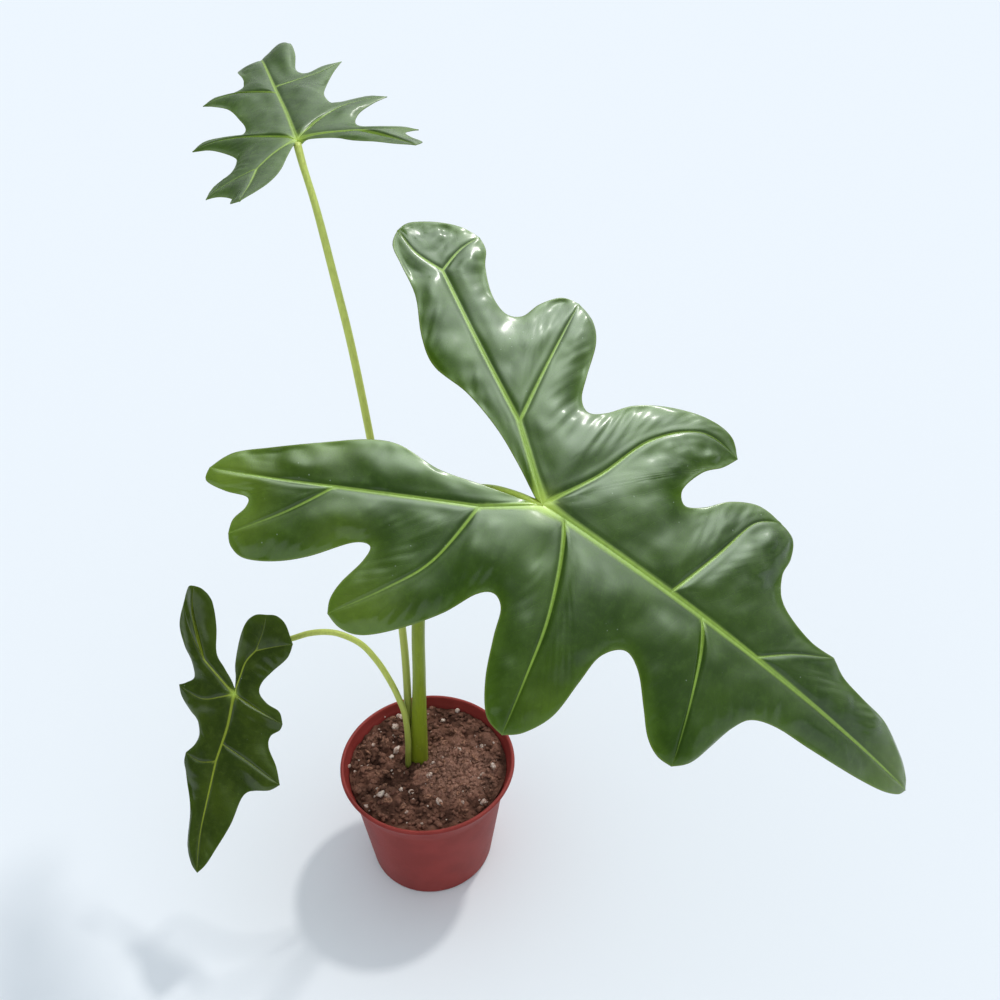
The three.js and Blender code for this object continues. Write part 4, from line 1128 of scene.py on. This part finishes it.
# Tall leaf: the youngest, thin and bright, held nearly level on the longest stalk, with its tip
# nodding and a lime spot where its veins meet.
tall_leaf = {
    "at": (-50.4, 72, 419.1),
    "along": (-0.345, 0.919, 0.191),
    "across": (-0.932, -0.312, -0.183),
    "bend": {"left": 0.0051, "right": 0.0017, "back": -0.006, "front": -0.001, "tip": 0.024, "hinge": 78},
    "sway": [(98, -18, 14, 7)],
    "thickness": 0.6,
    "groove": 1.1,
    "valley": 0.6,
    "valley_reach": 4,
    "puckers": [],
    "blur": 2.5,
    "crinkle": 1.3,
    "roll": 0.5,
    "roll_reach": 5,
    "lateral": 6.5,
    "boss": 1.6,
    "boss_width": 3,
    "hub": 3,
    "dull": [],
    "fresh": [(0, 0, 5, 1.0), (115, 0, 14, 0.3), (-20, -50, 12, 0.3)],
    "veins": {
        "rib1": ([(0, 0), (28, -1), (52, -1)], 4, 1.15, 0.9),
        "rib2": ([(52, -1), (58, -1)], 1, 0.9, 0.85),
        "rib3": ([(58, -1), (90, -1), (122, 0)], 7, 0.85, 0.3),
        "far": ([(0, 0), (-9, 13), (-19, 22)], 3, 0.9, 0.7),
        "farTip": ([(-19, 22), (-38, 28), (-58, 34)], 4, 0.6, 0.25),
        "farSide": ([(-19, 22), (-21, 35), (-25, 48)], 3, 0.5, 0.25),
        "farFirst": ([(0, 0), (10, 12.5), (17.5, 22.5), (24, 34), (28, 48)], 6, 0.6, 0.25),
        "farSecond": ([(52, -1), (60, 11), (65, 21), (66, 36)], 5, 0.5, 0.25),
        "near": ([(0, 0), (-2, -12), (-8, -28)], 3, 0.9, 0.7),
        "nearTip": ([(-8, -28), (-25, -38), (-47, -45)], 4, 0.6, 0.25),
        "nearSide": ([(-8, -28), (-14, -40), (-21, -53)], 3, 0.5, 0.25),
        "nearFirst": ([(0, 0), (4, -5), (14.5, -16), (22, -30), (23, -50)], 6, 0.6, 0.25),
        "nearSecond": ([(58, -1), (60, -13), (63, -26), (71, -39)], 5, 0.5, 0.25),
    },
    "sectors": [
        {"side": "left", "path": ["far", "farTip"],
         "edge": [[(-8, 4), (-17, 8)], [(-31, 13), (-43, 19), (-53, 26)]]},
        {"side": "left", "path": ["-farTip", "farSide"], "edge": [[(-52, 38), (-41, 37)], [(-32, 41)]]},
        {"side": "left", "path": ["-farSide", "-far", "farFirst"],
         "edge": [[(-16, 43), (-11, 34)], [(-3, 30), (6, 30)], [(19, 38)]]},
        {"side": "left", "path": ["-farFirst", "rib1", "farSecond"],
         "edge": [[(31, 41), (27, 32), (23, 24), (24, 21.5)], [(28, 20), (37, 21)], [(53, 25)]]},
        {"side": "left", "path": ["-farSecond", "rib2", "rib3"],
         "edge": [[(69, 29), (67, 20), (69, 14)], [(73, 12.5)], [(78, 12), (92, 13), (108, 9)]]},
        {"side": "right", "path": ["near", "nearTip"],
         "edge": [[(-4, -8), (-10, -17)], [(-18, -23), (-27, -32), (-38, -39)]]},
        {"side": "right", "path": ["-nearTip", "nearSide"],
         "edge": [[(-43, -49), (-32, -48)], [(-22, -46.5)]]},
        {"side": "right", "path": ["-nearSide", "-near", "nearFirst"],
         "edge": [[(-14, -48), (-9, -40)], [(-4, -31), (4, -29)], [(12, -33), (18, -41)]]},
        {"side": "right", "path": ["-nearFirst", "rib1", "rib2", "nearSecond"],
         "edge": [[(27, -42), (27, -30), (28.5, -26), (31, -23)], [(39, -22)], [(48, -25)], [(59, -31)]]},
        {"side": "right", "path": ["-nearSecond", "rib3"],
         "edge": [[(70, -29), (66, -20)], [(72, -15), (86, -18), (99, -17), (113, -9)]]},
    ],
}

TALL_GREENS = [(0.026, 0.058, 0.006), (0.042, 0.086, 0.010), (0.09, 0.15, 0.025)]
TALL_VEIN = (0.27, 0.40, 0.055)
TALL_UNDER = (0.26, 0.34, 0.17)
tall_skin = leaf_skin("leaf_green_young", *TALL_GREENS, TALL_VEIN, TALL_UNDER,
                      roughness=0.28, wax=0.42, margin_glow=0.2)
tall_blade = lobed_blade("blade_of_tall_leaf", tall_leaf, tall_skin, 6)
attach(tall_blade, "root")
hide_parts("leaf_tall")


# Low leaf: the oldest and smallest, nearly black green and satin, hanging steeply beside the pot
# with its upper face to the front.
low_leaf = {
    "at": (-105.2, -8.4, 141.8),
    "along": (-0.112, -0.587, -0.802),
    "across": (0.947, -0.308, 0.094),
    "bend": {"left": -0.0015, "right": 0.0026, "back": -0.005, "front": -0.002, "tip": -0.002, "hinge": 200},
    "sway": [],
    "thickness": 0.6,
    "groove": 1.0,
    "valley": 0.7,
    "valley_reach": 4,
    "puckers": [],
    "blur": 2.5,
    "crinkle": 1.1,
    "roll": 0.5,
    "roll_reach": 5,
    "lateral": 6.5,
    "boss": 1.6,
    "boss_width": 3,
    "hub": 3,
    "dull": [],
    "fresh": [(0, 0, 4, 0.6)],
    "veins": {
        "rib1": ([(0, 0), (17, -1), (28, -3)], 3, 1.0, 0.8),
        "rib2": ([(28, -3), (38, -5)], 1, 0.8, 0.7),
        "rib3": ([(38, -5), (59, -6), (78, -6), (97, -3)], 7, 0.7, 0.25),
        "right": ([(0, 0), (-10, 3), (-19, 6), (-26, 12)], 4, 0.55, 0.45),
        "rightTip": ([(-26, 12), (-37, 16), (-47, 18)], 3, 0.4, 0.2),
        "rightSide": ([(-26, 12), (-30, 24), (-33, 35)], 3, 0.4, 0.2),
        "rightFirst": ([(0, 0), (5, 14), (8, 23), (11, 33)], 4, 0.45, 0.2),
        "rightSecond": ([(28, -3), (34, 14), (43, 37)], 5, 0.4, 0.2),
        "left": ([(0, 0), (-8, -11), (-16, -22)], 3, 0.75, 0.6),
        "leftTip": ([(-16, -22), (-29, -27), (-43, -31), (-57, -30)], 5, 0.55, 0.2),
        "leftSide": ([(-16, -22), (-31, -33), (-46, -38)], 4, 0.35, 0.2),
        "leftFirst": ([(0, 0), (3, -8), (6, -21), (1, -38)], 4, 0.5, 0.2),
        "leftSecond": ([(38, -5), (40, -15), (37, -26)], 3, 0.4, 0.2),
    },
    "sectors": [
        {"side": "left", "path": ["right", "rightTip"],
         "edge": [[(-9, 0), (-17, -1), (-31, 1)], [(-41, 5), (-46, 11)]]},
        {"side": "left", "path": ["-rightTip", "rightSide"], "edge": [[(-47, 24)], [(-43, 30)]]},
        {"side": "left", "path": ["-rightSide", "-right", "rightFirst"],
         "edge": [[(-25, 32), (-16, 23)], [(-9, 17), (-3, 16)], [(2, 22), (5, 30)]]},
        {"side": "left", "path": ["-rightFirst", "rib1", "rightSecond"],
         "edge": [[(15, 31)], [(19, 26), (25, 26)], [(34, 33)]]},
        {"side": "left", "path": ["-rightSecond", "rib2", "rib3"],
         "edge": [[(47, 31), (49, 22)], [(51, 17)], [(56, 14), (69, 11), (83, 5), (92, 1)]]},
        {"side": "right", "path": ["left", "leftTip"],
         "edge": [[(-6, -2), (-13, -8)], [(-21, -14), (-36, -15), (-50, -18), (-56, -24)]]},
        {"side": "right", "path": ["-leftTip", "leftSide"],
         "edge": [[(-56, -34), (-51, -37)], [(-48.5, -37.7)]]},
        {"side": "right", "path": ["-leftSide", "-left", "leftFirst"],
         "edge": [[(-33, -41), (-22, -37)], [(-14, -31), (-5, -28)], [(-1, -33)]]},
        {"side": "right", "path": ["-leftFirst", "rib1", "rib2", "leftSecond"],
         "edge": [[(7, -35), (14, -28), (17, -24)], [(20, -21)], [(26, -19)], [(32, -21)]]},
        {"side": "right", "path": ["-leftSecond", "rib3"],
         "edge": [[(42, -26), (47, -24)], [(52, -22), (66, -16), (84, -13), (93, -8)]]},
    ],
}

LOW_GREENS = [(0.024, 0.044, 0.002), (0.044, 0.072, 0.003), (0.070, 0.105, 0.012)]
LOW_VEIN = (0.27, 0.33, 0.028)
LOW_UNDER = (0.15, 0.20, 0.085)
low_skin = leaf_skin("leaf_dark", *LOW_GREENS, LOW_VEIN, LOW_UNDER,
                     roughness=0.42, wax=0.6, margin_glow=0.08)
low_blade = lobed_blade("blade_of_low_leaf", low_leaf, low_skin, 6)
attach(low_blade, "root")
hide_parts("leaf_low")
